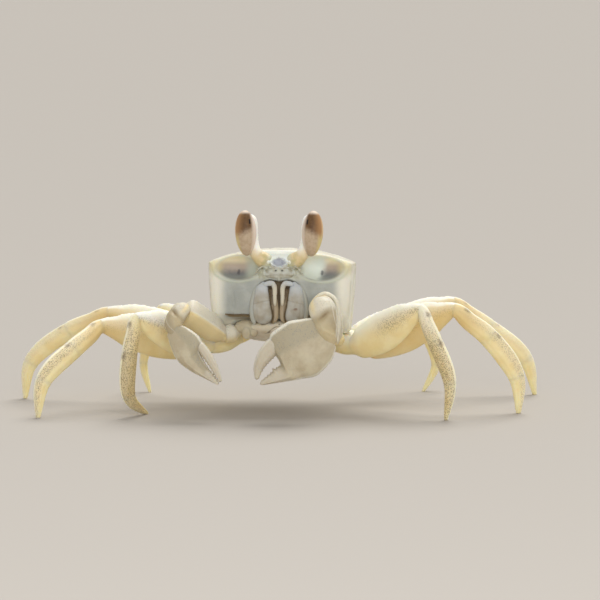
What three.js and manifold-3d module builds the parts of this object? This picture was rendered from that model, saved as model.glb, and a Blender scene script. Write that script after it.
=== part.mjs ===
// A young ghost crab (genus Ocypode), life size, standing on its eight walking legs with its eyes raised
// and both claws held low in front of the mouth. Each plate and limb segment of the shell is its own mesh.
//
// Millimetres, +Z up. The animal faces -Y, so its own left side is at +X. Z = 0 is the floor under the leg
// tips, and the origin is the middle of the standing animal's footprint box.
//
// The trunk is described in its own frame (x to the side, y backwards, z up, from the trunk's middle) and is
// then pitched so that the face is raised. The limbs are chains of segments, given by lengths and angles.

import * as THREE from "three";
import { mergeVertices } from "three/addons/utils/BufferGeometryUtils.js";
import Module from "manifold-3d";

const wasm = await Module();
wasm.setup();

// ---------------------------------------------------------------- driving dimensions

const GAP = 0.12; // clearance between neighbouring shell pieces

const TRUNK = {
  pitch: THREE.MathUtils.degToRad(5), // the face is raised
  height: 18.9, // middle of the trunk above the floor
  halfWidth: 12.1, // at the widest, a little behind the eye sockets
  front: -10.2, // face plane at the mouth
  back: 10.4, // rear margin
  top: 7.6, // back of the shell, on the midline
  edge: 5.4, // corner where the back turns into the side wall
};

// Lengths of the walking legs' segments, front leg first.
const LEG_LENGTHS = [
  { base: 5.2, merus: 14.8, carpus: 5.6, propodus: 7.2, dactyl: 6.2 },
  { base: 5.6, merus: 18.0, carpus: 7.2, propodus: 8.2, dactyl: 6.0 },
  { base: 5.6, merus: 17.8, carpus: 7.4, propodus: 8.6, dactyl: 6.2 },
  { base: 4.6, merus: 12.6, carpus: 5.0, propodus: 6.0, dactyl: 5.2 },
];
const LEG_ROOTS = [
  { x: 7.2, y: -2.8 },
  { x: 7.6, y: 0.6 },
  { x: 7.4, y: 4.0 },
  { x: 6.4, y: 7.0 },
];
const LEG_ROOT_Z = -7.0; // of the trunk
const LEG_BASE_PITCH = -12;
const LEG_DEPTH = [6.4, 7.0, 6.6, 4.9]; // largest height of each merus
const SHANK_DEPTH = [2.75, 3.35, 3.05, 2.1]; // largest height of each carpus and propodus
const FOOT_SINK = 0.25; // how far a tip runs below the floor before it is cut flat

// How each leg is held, in degrees. heading is forward of straight out to the side, for the merus and then
// for the three segments after the knee. The pitches are above the horizon. The merus has no pitch here:
// it rises just enough to set the tip on the floor.
const LEG_POSES = {
  right: [
    { merus: 33, shank: 62, carpus: -71, propodus: -88, dactyl: -145 },
    { merus: 14, shank: 52, carpus: -27, propodus: -34, dactyl: -77 },
    { merus: -1, shank: -3, carpus: -25, propodus: -40, dactyl: -80 },
    { merus: -18, shank: -43, carpus: -61, propodus: -65, dactyl: -109 },
  ],
  left: [
    { merus: 27, shank: 25, carpus: -63, propodus: -67, dactyl: -96 },
    { merus: 18, shank: -10, carpus: -39, propodus: -55, dactyl: -86 },
    { merus: -26, shank: -14, carpus: -35, propodus: -41, dactyl: -75 },
    { merus: -38, shank: -38, carpus: -44, propodus: -68, dactyl: -120 },
  ],
};

// The two claws: the left one is the crusher. Joints are in the part's frame before it is centred. back and
// belly are the palm's two margins, as heights off the line from wrist to fingertip at shares of it: past
// the fork they are the fixed finger's. finger is the middle of the movable one, which closes on it from
// above, and fingerDepth its half depth from its own hinge to its tip.
const CLAWS = {
  left: {
    root: [6.2, -6.8, 13.4],
    shoulder: [10.2, -8.2, 12.3],
    elbow: [8.5, -14.4, 19.4],
    wrist: [7.8, -17.6, 15.7],
    tip: [-2.7, -19.6, 7.1],
    merusDepth: 5.2,
    carpusDepth: 5.7,
    thickness: 4.4,
    back: [[0, 1.9], [0.14, 3.1], [0.3, 4.2], [0.5, 4.4], [0.6, 3.7], [0.67, -0.5], [1, -0.6]],
    belly: [[0, -2.6], [0.07, -3.9], [0.2, -5], [0.4, -5.5], [0.58, -4.4], [0.8, -2.7], [1, -1.1]],
    finger: [[0.52, 2.6], [0.7, 2.4], [0.88, 1.5], [1, 0.1]],
    fingerDepth: [[0, 1.5], [0.35, 1.3], [0.7, 0.85], [1, 0.27]],
  },
  right: {
    root: [-6.0, -6.8, 13.6],
    shoulder: [-9.4, -8.6, 12.9],
    elbow: [-15.4, -13.9, 17.8],
    wrist: [-16.8, -16.9, 15.2],
    tip: [-8.8, -19.2, 6.5],
    merusDepth: 4.8,
    carpusDepth: 4.2,
    thickness: 2.9,
    back: [[0, 1.0], [0.17, 1.9], [0.33, 2.3], [0.42, 2.1], [0.5, 0.7], [0.74, 0.1], [1, -0.15]],
    belly: [[0, -0.9], [0.08, -1.3], [0.24, -2.4], [0.4, -2.9], [0.63, -2.3], [0.8, -1.5], [1, -0.5]],
    finger: [[0.38, 1.5], [0.58, 1.4], [0.8, 0.95], [1, 0.2]],
    fingerDepth: [[0, 0.75], [0.3, 0.75], [0.7, 0.55], [1, 0.27]],
  },
};

const EYE = {
  base: [2.55, -9.35, 5.75], // foot of the stalk, in the trunk's frame
  bottom: [5.3, -9.95, 26.3], // lower end of the eye, in the part's frame
  top: [5.7, -9.3, 33.75],
  radius: 1.74,
};

// ---------------------------------------------------------------- colours

const shell = (colour, roughness = 0.5) =>
  new THREE.MeshStandardMaterial({ color: colour, roughness, metalness: 0 });
const MATERIALS = {
  back: shell(0xdcd8c4, 0.55),
  face: shell(0xd9d8cb, 0.5),
  mouth: shell(0xded9ce, 0.45),
  belly: shell(0xe6e0d2, 0.55),
  leg: shell(0xe3cf8f, 0.5),
  claw: shell(0xe3ded2, 0.5),
  stalk: shell(0xe8dfc4, 0.4),
  eye: shell(0x8a6242, 0.15),
};

// ---------------------------------------------------------------- helpers

const vec = (a) => new THREE.Vector3(...a);
const clamp01 = (t) => Math.min(1, Math.max(0, t));
const smoothstep = (a, b, t) => {
  const u = clamp01((t - a) / (b - a));
  return u * u * (3 - 2 * u);
};
// Smooth maximum and minimum of signed distances, rounded over about k.
const smax = (a, b, k) => {
  const h = Math.max(k - Math.abs(a - b), 0) / k;
  return Math.max(a, b) + (h * h * k) / 4;
};
const smin = (a, b, k) => -smax(-a, -b, k);
const signedPower = (v, e) => Math.sign(v) * Math.abs(v) ** e;

// A smooth curve through [at, value] stops, read at t.
function through(stops, t) {
  if (t <= stops[0][0]) return stops[0][1];
  for (let i = 1; i < stops.length; i++)
    if (t <= stops[i][0]) {
      const [a, va] = stops[i - 1];
      const [b, vb] = stops[i];
      const u = (t - a) / (b - a);
      return va + (vb - va) * (0.5 - 0.5 * Math.cos(Math.PI * u));
    }
  return stops.at(-1)[1];
}

const TRUNK_MATRIX = new THREE.Matrix4()
  .makeTranslation(0, 0, TRUNK.height)
  .multiply(new THREE.Matrix4().makeRotationX(-TRUNK.pitch));
const fromTrunk = (x, y, z) => new THREE.Vector3(x, y, z).applyMatrix4(TRUNK_MATRIX);

// A three.js geometry as a manifold-3d solid.
function solid(geometry) {
  const bare = geometry.clone();
  bare.deleteAttribute("normal");
  bare.deleteAttribute("uv");
  const merged = mergeVertices(bare, 1e-4);
  return new wasm.Manifold(
    new wasm.Mesh({
      numProp: 3,
      vertProperties: merged.attributes.position.array,
      triVerts: new Uint32Array(merged.index.array),
    }),
  );
}

const largest = (body) =>
  body.decompose().reduce((a, b) => (b.volume() > a.volume() ? b : a));

const group = new THREE.Group();
function add(name, body, material) {
  const made = largest(body).getMesh();
  const geometry = new THREE.BufferGeometry();
  const position = new THREE.BufferAttribute(new Float32Array(made.vertProperties), 3);
  geometry.setAttribute("position", position);
  geometry.setIndex(new THREE.BufferAttribute(new Uint32Array(made.triVerts), 1));
  geometry.computeVertexNormals();
  const mesh = new THREE.Mesh(geometry, material);
  mesh.name = name;
  group.add(mesh);
}

// Where the trunk's middle stands, so that the footprint box is centred on the origin.
const STANCE = { x: 1.65, y: -0.1 };

// A closed limb: a unit cylinder whose rings are carried along section(s), for s from 0 to 1. A section is
// { centre, up, side, rise, drop, half, power }: rise above the centre, drop below it, half to each side,
// and power, 1 for an oval and more for a section that comes to an edge. grow makes it fatter all round.
function limb(section, sides, rings, grow = 0) {
  const geometry = new THREE.CylinderGeometry(1, 1, 1, sides, rings);
  const position = geometry.attributes.position;
  const lengthen = [0, 1].map((s) =>
    section(s).centre.clone().sub(section(Math.abs(s - 0.02)).centre).setLength(grow),
  );
  for (let i = 0; i < position.count; i++) {
    const [x, y, z] = [position.getX(i), position.getY(i), position.getZ(i)];
    const s = clamp01(0.5 - y);
    const c = section(s);
    const power = c.power ?? 1;
    const radius = Math.hypot(x, z);
    const place = c.centre.clone();
    if (s < 1e-6) place.add(lengthen[0]);
    if (s > 1 - 1e-6) place.add(lengthen[1]);
    if (radius > 1e-6) {
      const sideways = signedPower(x / radius, power) * (c.half + grow);
      const height = signedPower(z / radius, power) * ((z > 0 ? c.rise : c.drop) + grow);
      place.addScaledVector(c.side, sideways).addScaledVector(c.up, height);
    }
    position.setXYZ(i, place.x, place.y, place.z);
  }
  const made = solid(geometry);
  if (made.volume() > 0) return made;
  // The frame was left-handed, so turn each triangle round.
  const index = geometry.index.array;
  for (let i = 0; i < index.length; i += 3)
    [index[i + 1], index[i + 2]] = [index[i + 2], index[i + 1]];
  return solid(geometry);
}

// The axes of a straight segment from a to b whose depth lies in the upright plane, turned by roll.
function frameOf(a, b, roll = 0) {
  const along = b.clone().sub(a).normalize();
  const side = new THREE.Vector3().crossVectors(along, new THREE.Vector3(0, 0, 1)).normalize();
  const up = new THREE.Vector3().crossVectors(side, along).normalize();
  side.applyAxisAngle(along, roll);
  up.applyAxisAngle(along, roll);
  return { along, up, side };
}

// A straight segment whose rise, drop and half follow stops along it.
function segment({ a, b, rise, drop, half, roll = 0, power = 1, sides = 8, rings = 5 }) {
  const { up, side } = frameOf(a, b, roll);
  const section = (s) => ({
    centre: a.clone().lerp(b, s),
    up,
    side,
    rise: through(rise, s),
    drop: through(drop, s),
    half: through(half, s),
    power,
  });
  return (grow = 0) => limb(section, sides, rings, grow);
}

// ---------------------------------------------------------------- trunk

// Half width of the back's outline at y.
const outline = (y) =>
  TRUNK.halfWidth - 4.9 * clamp01((y + 3) / 13.3) ** 2.2 - 0.25 * clamp01((-3 - y) / 5.5) ** 2;
const crest = (y) => TRUNK.top - 0.012 * (y + 1) ** 2 * (y > -1 ? 1.3 : 0.5);
const edgeHeight = (y) => TRUNK.edge - 2.4 * clamp01((y + 4) / 14) ** 1.6;

// Eye sockets: one large oval hollow each side of the front, open forwards and a little upwards.
const SOCKET = { x: 7.3, y: -10.7, z: 4.5, rx: 4.3, ry: 3.2, rz: 2.15 };
const STALK_HOLLOW = { x: 3.1, y: -10.5, z: 5.6, rx: 1.7, ry: 1.7, rz: 1.35 };
const ovalDistance = (o, x, y, z) =>
  (Math.hypot((x - o.x) / o.rx, (y - o.y) / o.ry, (z - o.z) / o.rz) - 1) *
  Math.min(o.rx, o.ry, o.rz);

// The hollow that the mouthparts close.
const MOUTH = { halfWidth: 4.65, top: 2.45, bottom: -5.6, floor: -8.9 };
function mouthHollow(x, y, z) {
  const half = MOUTH.halfWidth - 1.3 * smoothstep(0, MOUTH.top, z);
  return Math.max(x - half, z - MOUTH.top, MOUTH.bottom - z, y - MOUTH.floor);
}

// The narrow front that hangs down between the eyestalks.
function frontLobe(x, y, z) {
  const [tip, reach] = [4.65, 2.3];
  const up = clamp01((z - tip) / reach);
  const half = 0.6 + 2.45 * up ** 0.8;
  const face = -10.95 + 1.75 * up ** 1.3;
  return Math.max(x - half, face - y, tip - z, z - crest(y) - 0.05, y + 8);
}

// Signed distance, roughly, to the shell: negative inside.
function shellField(px, y, z) {
  const x = Math.abs(px);
  const width = outline(y);
  const down = edgeHeight(y) - z;
  const wall = x - (width - 0.1 * Math.max(0, down) + 0.25 * Math.sin(clamp01(down / 11) * Math.PI));
  const roof = z - (crest(y) - (crest(y) - edgeHeight(y)) * (x / width) ** 2.4);
  const face =
    TRUNK.front + 0.0125 * x * x + 0.022 * Math.min(0, z - 2) ** 2 + 0.03 * Math.max(0, z - 2) ** 2 - y;
  const rear = y - (TRUNK.back - 0.012 * x * x - 0.035 * (z - 1.5) ** 2);
  const hem =
    -4.6 -
    1.75 * smoothstep(6.5, 9, x) * smoothstep(-8.5, -4.5, y) +
    0.9 * (1 - smoothstep(-9, -6, y)) +
    0.3 * Math.max(0, y - 5);
  let field = smax(wall, roof, 0.9);
  field = smax(field, face, 1.1);
  field = smax(field, rear, 2.2);
  field = smax(field, hem - z, 1.0);
  field = smax(field, -ovalDistance(SOCKET, x, y, z), 0.3);
  field = smax(field, -ovalDistance(STALK_HOLLOW, x, y, z), 0.3);
  field = smax(field, -mouthHollow(x, y, z), 0.3);
  return smin(field, frontLobe(x, y, z), 0.2);
}

// A box grid drawn in from outside until it meets the surface where field(x, y, z) is level.
function shrinkWrap(field, reach, divisions, level = 0) {
  const geometry = new THREE.BoxGeometry(2, 2, 2, ...divisions);
  const position = geometry.attributes.position;
  const core = 0.3; // of the reach, where the search gives up
  for (let i = 0; i < position.count; i++) {
    const grid = [position.getX(i), position.getY(i), position.getZ(i)];
    const at = (t) => grid.map((g, axis) => g * reach[axis] * t);
    let outside = 1;
    let inside = 1;
    while (inside > core && field(...at(inside)) > level) {
      outside = inside;
      inside -= 0.01;
    }
    for (let step = 0; step < 20; step++) {
      const middle = (outside + inside) / 2;
      if (field(...at(middle)) > level) outside = middle;
      else inside = middle;
    }
    const place = fromTrunk(...at(inside));
    position.setXYZ(i, place.x, place.y, place.z);
  }
  return solid(geometry);
}

const REACH = [13.5, 12.2, 9.5];
const carapace = (grow = 0, divisions = [16, 7, 10]) =>
  shrinkWrap(shellField, REACH, divisions, grow);

// A trunk piece whose sections stand across y: stops give half width, top and bottom.
function plateAlongY({ from, to, half, top, bottom, sides = 12, rings = 7, power = 0.8 }) {
  const side = new THREE.Vector3(1, 0, 0);
  const up = new THREE.Vector3(0, 0, 1).transformDirection(TRUNK_MATRIX);
  const section = (s) => {
    const y = from + (to - from) * s;
    const [high, low] = [through(top, y), through(bottom, y)];
    return {
      centre: fromTrunk(0, y, (high + low) / 2),
      up,
      side,
      rise: (high - low) / 2,
      drop: (high - low) / 2,
      half: through(half, y),
      power,
    };
  };
  return (grow = 0) => limb(section, sides, rings, grow);
}

const sternum = plateAlongY({
  from: -8.7,
  to: 8.6,
  half: [[-8.7, 3.0], [-6, 5.4], [-2, 6.9], [3, 7.0], [7, 5.4], [8.6, 3.6]],
  top: [[-8.7, -5.0], [-6, -4.85], [5, -4.85], [8.6, -3.6]],
  bottom: [[-8.7, -5.9], [-6, -7.4], [-2, -8.0], [4, -8.0], [8.6, -6.4]],
});

// The tail flap: it leaves the rear margin, turns under and lies along the midline of the sternum.
const ABDOMEN_PATH = new THREE.CatmullRomCurve3(
  [[0, 10.25, -0.6], [0, 10.9, -3.2], [0, 9.9, -6.4], [0, 6.6, -8.45], [0, 1.5, -8.75], [0, -4.6, -8.5]].map(
    (p) => fromTrunk(...p),
  ),
);
function abdomen(grow = 0) {
  const side = new THREE.Vector3(1, 0, 0);
  const section = (s) => {
    const along = ABDOMEN_PATH.getTangentAt(s);
    return {
      centre: ABDOMEN_PATH.getPointAt(s),
      up: new THREE.Vector3().crossVectors(along, side).normalize(),
      side,
      rise: 0.42,
      drop: 0.42,
      half: through([[0, 3.6], [0.2, 3.9], [0.45, 2.6], [0.8, 1.6], [1, 0.6]], s),
      power: 0.8,
    };
  };
  return limb(section, 8, 9, grow);
}

// The bar under the front, with the little feelers' sockets, which roofs the mouth.
function epistome(grow = 0) {
  const up = new THREE.Vector3(0, 0, 1).transformDirection(TRUNK_MATRIX);
  const side = new THREE.Vector3(0, -1, 0).transformDirection(TRUNK_MATRIX);
  const section = (s) => {
    const x = -3.0 + 6 * s;
    const middle = 1 - (x / 3) ** 2;
    return {
      centre: fromTrunk(x, -9.75 + 0.3 * (1 - middle), 3.4),
      up,
      side,
      rise: 0.35 + 0.6 * middle ** 0.5,
      drop: 0.3 + 0.45 * middle ** 0.5,
      half: 0.35 + 0.75 * middle ** 0.5,
    };
  };
  return limb(section, 8, 6, grow);
}

// One outer mouthpart: the upright plate that closes half of the mouth, with its palp hanging beside the
// midline. sign is 1 for the animal's left.
function maxilliped(sign) {
  const side = new THREE.Vector3(sign, 0, 0);
  const up = new THREE.Vector3(0, -1, 0).transformDirection(TRUNK_MATRIX);
  const plate = (s) => {
    const z = 2.1 - 7.0 * s;
    const inner = through([[0, 1.9], [0.35, 1.72], [0.65, 1.1], [0.85, 1.05], [1, 2.2]], s);
    const outer = through([[0, 3.2], [0.25, 4.3], [0.8, 4.2], [1, 3.4]], s);
    const bulge = through([[0, 0.25], [0.2, 0.75], [0.7, 0.95], [1, 0.4]], s);
    return {
      centre: fromTrunk((sign * (inner + outer)) / 2, -10.05 + 0.45 * s, z),
      up,
      side,
      rise: bulge,
      drop: 0.7,
      half: (outer - inner) / 2,
      power: 0.85,
    };
  };
  const reach = new THREE.CatmullRomCurve3(
    [[2.6, -10.25, 1.5], [1.6, -10.55, 2.0], [0.8, -10.6, 1.5], [0.62, -10.5, -0.2], [0.66, -10.4, -1.5]].map(
      ([x, y, z]) => fromTrunk(sign * x, y, z),
    ),
  );
  const palp = (s) => {
    const along = reach.getTangentAt(s);
    const across = new THREE.Vector3().crossVectors(along, up).normalize();
    const radius = through([[0, 0.3], [0.5, 0.3], [1, 0.25]], s);
    const out = new THREE.Vector3().crossVectors(across, along).normalize();
    return { centre: reach.getPointAt(s), up: out, side: across, rise: 0.34, drop: 0.34, half: radius };
  };
  return limb(plate, 8, 6).add(limb(palp, 6, 7));
}

// ---------------------------------------------------------------- eyes

const onSide = ([x, y, z], sign) => new THREE.Vector3(sign * x, y, z);

function eyeball(sign, grow = 0) {
  const [bottom, top] = [onSide(EYE.bottom, sign), onSide(EYE.top, sign)];
  const { up, side } = frameOf(bottom, top);
  const section = (s) => {
    // an egg that is fuller above its middle
    const t = 2 * s - 1;
    const radius = EYE.radius * Math.sqrt(Math.max(0.012, 1 - t * t)) * (1 + 0.13 * t * (1 - s));
    return { centre: bottom.clone().lerp(top, s), up, side, rise: radius, drop: radius, half: radius };
  };
  return limb((s) => section(0.5 - 0.5 * Math.cos(Math.PI * s)), 10, 8, grow);
}

// The stalk leaves the front, bends up and runs behind the inner side of the eye nearly to its top.
function eyestalk(sign) {
  const foot = fromTrunk(sign * EYE.base[0], EYE.base[1], EYE.base[2]);
  const curve = new THREE.CatmullRomCurve3([
    foot,
    onSide([3.75, -9.2, 26.5], sign),
    onSide([4.35, -8.75, 28.5], sign),
    onSide([4.6, -8.45, 31.0], sign),
    onSide([4.95, -8.5, 32.7], sign),
  ]);
  const side = new THREE.Vector3(sign, 0, 0);
  const section = (s) => {
    const along = curve.getTangentAt(s);
    const up = new THREE.Vector3().crossVectors(along, side).normalize();
    const radius = through([[0, 0.85], [0.2, 1.05], [0.45, 0.95], [0.8, 1.05], [1, 0.55]], s);
    return {
      centre: curve.getPointAt(s),
      up,
      side: new THREE.Vector3().crossVectors(up, along).normalize(),
      rise: radius,
      drop: radius,
      half: radius,
    };
  };
  return limb(section, 8, 6).subtract(eyeball(sign, GAP));
}

// ---------------------------------------------------------------- walking legs

const degrees = THREE.MathUtils.degToRad;
const direction = (sign, heading, pitch) =>
  new THREE.Vector3(
    sign * Math.cos(degrees(pitch)) * Math.cos(degrees(heading)),
    -Math.cos(degrees(pitch)) * Math.sin(degrees(heading)),
    Math.sin(degrees(pitch)),
  );

// The joints of a walking leg from its root on the trunk to its tip on the floor.
function legJoints(sign, index, pose) {
  const lengths = LEG_LENGTHS[index];
  const root = fromTrunk(sign * LEG_ROOTS[index].x, LEG_ROOTS[index].y, LEG_ROOT_Z);
  const joints = [root];
  const step = (length, heading, pitch) =>
    joints.push(joints.at(-1).clone().addScaledVector(direction(sign, heading, pitch), length));
  step(lengths.base, pose.merus, LEG_BASE_PITCH);
  const below = ["carpus", "propodus", "dactyl"].reduce(
    (sum, name) => sum + lengths[name] * Math.sin(degrees(pose[name])),
    joints.at(-1).z,
  );
  const rise = THREE.MathUtils.radToDeg(Math.asin(-below / lengths.merus));
  step(lengths.merus, pose.merus, rise);
  step(lengths.carpus, pose.shank, pose.carpus);
  step(lengths.propodus, pose.shank, pose.propodus);
  step(lengths.dactyl, pose.shank, pose.dactyl);
  return joints;
}

function floorBlock() {
  const block = new THREE.BoxGeometry(200, 200, 20);
  block.translate(0, 0, -10);
  return solid(block);
}
const FLOOR = floorBlock();

const scaled = (stops, k) => stops.map(([at, value]) => [at, value * k]);

function walkingLeg(sign, index, pose, name, trunk) {
  const [root, hip, knee, ankle, heel, tip] = legJoints(sign, index, pose);
  const depth = LEG_DEPTH[index];
  const shank = SHANK_DEPTH[index];
  const base = segment({
    a: root,
    b: hip,
    rise: scaled([[0, 0.2], [0.5, 0.26], [1, 0.26]], depth),
    drop: scaled([[0, 0.2], [0.5, 0.26], [1, 0.26]], depth),
    half: scaled([[0, 0.2], [0.6, 0.22], [1, 0.19]], depth),
    sides: 6,
    rings: 3,
  });
  const merus = segment({
    a: hip,
    b: knee,
    rise: scaled([[0, 0.28], [0.14, 0.41], [0.45, 0.5], [0.85, 0.41], [1, 0.24]], depth),
    drop: scaled([[0, 0.26], [0.12, 0.41], [0.45, 0.5], [0.85, 0.35], [1, 0.17]], depth),
    half: scaled([[0, 0.17], [0.15, 0.21], [0.5, 0.22], [0.85, 0.19], [1, 0.14]], depth),
    power: 1.15,
    rings: 6,
  });
  const carpus = segment({
    a: knee,
    b: ankle,
    rise: scaled([[0, 0.34], [0.2, 0.5], [0.75, 0.52], [1, 0.44]], shank),
    drop: scaled([[0, 0.3], [0.3, 0.42], [0.75, 0.48], [1, 0.4]], shank),
    half: scaled([[0, 0.26], [0.3, 0.36], [0.8, 0.37], [1, 0.28]], shank),
    rings: 4,
  });
  const propodus = segment({
    a: ankle,
    b: heel,
    rise: scaled([[0, 0.36], [0.2, 0.5], [0.7, 0.5], [1, 0.38]], shank),
    drop: scaled([[0, 0.36], [0.2, 0.46], [0.7, 0.48], [1, 0.36]], shank),
    half: scaled([[0, 0.24], [0.2, 0.32], [0.7, 0.31], [1, 0.22]], shank),
    rings: 4,
  });
  const past = tip.clone().sub(heel).setLength(FOOT_SINK);
  const dactyl = segment({
    a: heel,
    b: tip.clone().add(past),
    rise: scaled([[0, 0.3], [0.22, 0.4], [0.6, 0.32], [1, 0.13]], shank),
    drop: scaled([[0, 0.3], [0.22, 0.38], [0.6, 0.3], [1, 0.13]], shank),
    half: scaled([[0, 0.18], [0.25, 0.25], [0.6, 0.22], [1, 0.12]], shank),
    sides: 6,
    rings: 4,
  });
  add(`${name}_base`, trunk.reduce((body, other) => body.subtract(other), base()), MATERIALS.leg);
  add(`${name}_merus`, merus().subtract(base(GAP)).subtract(trunk[0]), MATERIALS.leg);
  add(`${name}_carpus`, carpus().subtract(merus(GAP)), MATERIALS.leg);
  add(`${name}_propodus`, propodus().subtract(carpus(GAP)), MATERIALS.leg);
  add(`${name}_dactyl`, dactyl().subtract(propodus(GAP)).subtract(FLOOR), MATERIALS.leg);
}

// ---------------------------------------------------------------- claws

function clawArm(claw) {
  const [root, shoulder, elbow, wrist] = ["root", "shoulder", "elbow", "wrist"].map((key) =>
    vec(claw[key]),
  );
  const [depth, girth] = [claw.merusDepth, claw.carpusDepth];
  const base = segment({
    a: root,
    b: shoulder,
    rise: scaled([[0, 0.26], [0.5, 0.36], [1, 0.3]], depth),
    drop: scaled([[0, 0.26], [0.5, 0.36], [1, 0.3]], depth),
    half: scaled([[0, 0.26], [0.5, 0.34], [1, 0.28]], depth),
    rings: 3,
  });
  const merus = segment({
    a: shoulder,
    b: elbow,
    rise: scaled([[0, 0.28], [0.3, 0.46], [0.8, 0.5], [1, 0.34]], depth),
    drop: scaled([[0, 0.28], [0.3, 0.46], [0.8, 0.46], [1, 0.3]], depth),
    half: scaled([[0, 0.24], [0.3, 0.36], [0.8, 0.4], [1, 0.3]], depth),
    rings: 5,
  });
  const carpus = segment({
    a: elbow,
    b: wrist,
    rise: scaled([[0, 0.26], [0.25, 0.47], [0.7, 0.5], [1, 0.26]], girth),
    drop: scaled([[0, 0.24], [0.3, 0.4], [0.7, 0.42], [1, 0.24]], girth),
    half: scaled([[0, 0.26], [0.3, 0.48], [0.7, 0.48], [1, 0.24]], girth),
    sides: 10,
    rings: 5,
  });
  return { base, merus, carpus };
}

// The palm is deep and flat-sided, and its lower margin runs on into the fixed finger. The movable finger
// hinges at the fork's top and closes down onto it.
function clawHand(sign, claw) {
  const [wrist, tip] = [vec(claw.wrist), vec(claw.tip)];
  const along = tip.clone().sub(wrist).normalize();
  const out = new THREE.Vector3(0, -1, 0).addScaledVector(along, along.y).normalize();
  const up = new THREE.Vector3().crossVectors(along, out).multiplyScalar(sign).normalize();
  const halfThickness = [[0, 0.26], [0.2, 0.43], [0.4, 0.5], [0.6, 0.36], [1, 0.1]];
  const onPalm = (share, height) =>
    wrist.clone().lerp(tip, share).addScaledVector(up, height);
  const palmSection = (s) => {
    const [high, low] = [through(claw.back, s), through(claw.belly, s)];
    return {
      centre: onPalm(s, (high + low) / 2),
      up,
      side: out,
      rise: (high - low) / 2,
      drop: (high - low) / 2,
      half: through(halfThickness, s) * claw.thickness,
    };
  };
  const reach = new THREE.CatmullRomCurve3(claw.finger.map(([share, height]) => onPalm(share, height)));
  const fingerSection = (s) => {
    const depth = through(claw.fingerDepth, s);
    return {
      centre: reach.getPointAt(s),
      up: new THREE.Vector3().crossVectors(reach.getTangentAt(s), out).normalize(),
      side: out,
      rise: depth,
      drop: depth,
      half: through([[0, 0.3], [0.4, 0.28], [1, 0.1]], s) * claw.thickness,
    };
  };
  return {
    palm: (grow = 0) => limb(palmSection, 12, 12, grow),
    finger: () => limb(fingerSection, 8, 7),
  };
}

function clawLimb(sign, claw, name, trunk) {
  const { base, merus, carpus } = clawArm(claw);
  const { palm, finger } = clawHand(sign, claw);
  add(`${name}_base`, trunk.reduce((body, other) => body.subtract(other), base()), MATERIALS.claw);
  add(`${name}_merus`, merus().subtract(base(GAP)).subtract(trunk[0]), MATERIALS.claw);
  add(`${name}_carpus`, carpus().subtract(merus(GAP)), MATERIALS.claw);
  add(`${name}_palm`, palm().subtract(carpus(GAP)).subtract(merus(GAP)), MATERIALS.claw);
  add(`${name}_finger`, finger().subtract(palm(GAP)), MATERIALS.claw);
}

// ---------------------------------------------------------------- assembly

const clearOf = { shell: carapace(GAP), sternum: sternum(GAP) };
const trunk = [clearOf.shell, clearOf.sternum];

add("carapace", carapace().subtract(epistome(GAP)), MATERIALS.back);
add("sternum", sternum().subtract(clearOf.shell), MATERIALS.belly);
add("abdomen", abdomen().subtract(clearOf.shell).subtract(clearOf.sternum), MATERIALS.belly);
add("epistome", epistome(), MATERIALS.face);

for (const [sideName, sign] of [["left", 1], ["right", -1]]) {
  const mouthpart = maxilliped(sign).subtract(epistome(GAP));
  add(
    `mouthpart_${sideName}`,
    trunk.reduce((body, other) => body.subtract(other), mouthpart),
    MATERIALS.mouth,
  );
  add(`eye_${sideName}`, eyeball(sign), MATERIALS.eye);
  add(`eyestalk_${sideName}`, eyestalk(sign).subtract(clearOf.shell), MATERIALS.stalk);
  clawLimb(sign, CLAWS[sideName], `claw_${sideName}`, trunk);
  LEG_POSES[sideName].forEach((pose, index) =>
    walkingLeg(sign, index, pose, `leg_${sideName}_${index + 1}`, trunk),
  );
}

group.position.set(STANCE.x, STANCE.y, 0);

export default group;
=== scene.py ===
"""A young ghost crab at life size: every plate of its shell, its eyes and claws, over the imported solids.

Shapes are worked out in millimetres in the animal's own frame. The crab faces -Y and its left is at +X.
"""

import itertools

import bpy
import numpy as np
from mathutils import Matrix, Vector


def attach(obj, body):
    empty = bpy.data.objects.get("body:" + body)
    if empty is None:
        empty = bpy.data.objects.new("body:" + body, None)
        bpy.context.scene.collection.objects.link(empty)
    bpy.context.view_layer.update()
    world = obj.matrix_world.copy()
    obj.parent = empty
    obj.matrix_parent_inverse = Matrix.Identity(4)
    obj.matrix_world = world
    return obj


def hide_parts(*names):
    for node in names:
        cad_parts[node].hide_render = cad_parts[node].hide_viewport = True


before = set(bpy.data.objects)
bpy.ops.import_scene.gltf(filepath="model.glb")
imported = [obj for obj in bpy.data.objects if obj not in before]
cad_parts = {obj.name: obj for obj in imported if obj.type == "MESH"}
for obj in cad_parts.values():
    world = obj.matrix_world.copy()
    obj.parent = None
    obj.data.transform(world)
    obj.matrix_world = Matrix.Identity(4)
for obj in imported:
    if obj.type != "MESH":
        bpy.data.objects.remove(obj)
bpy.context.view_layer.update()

MM = 0.001
STANCE = np.array([1.65, -0.1, 0.0])  # from the animal's frame to the part's

# ---------------------------------------------------------------- driving dimensions, as in the solids

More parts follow.
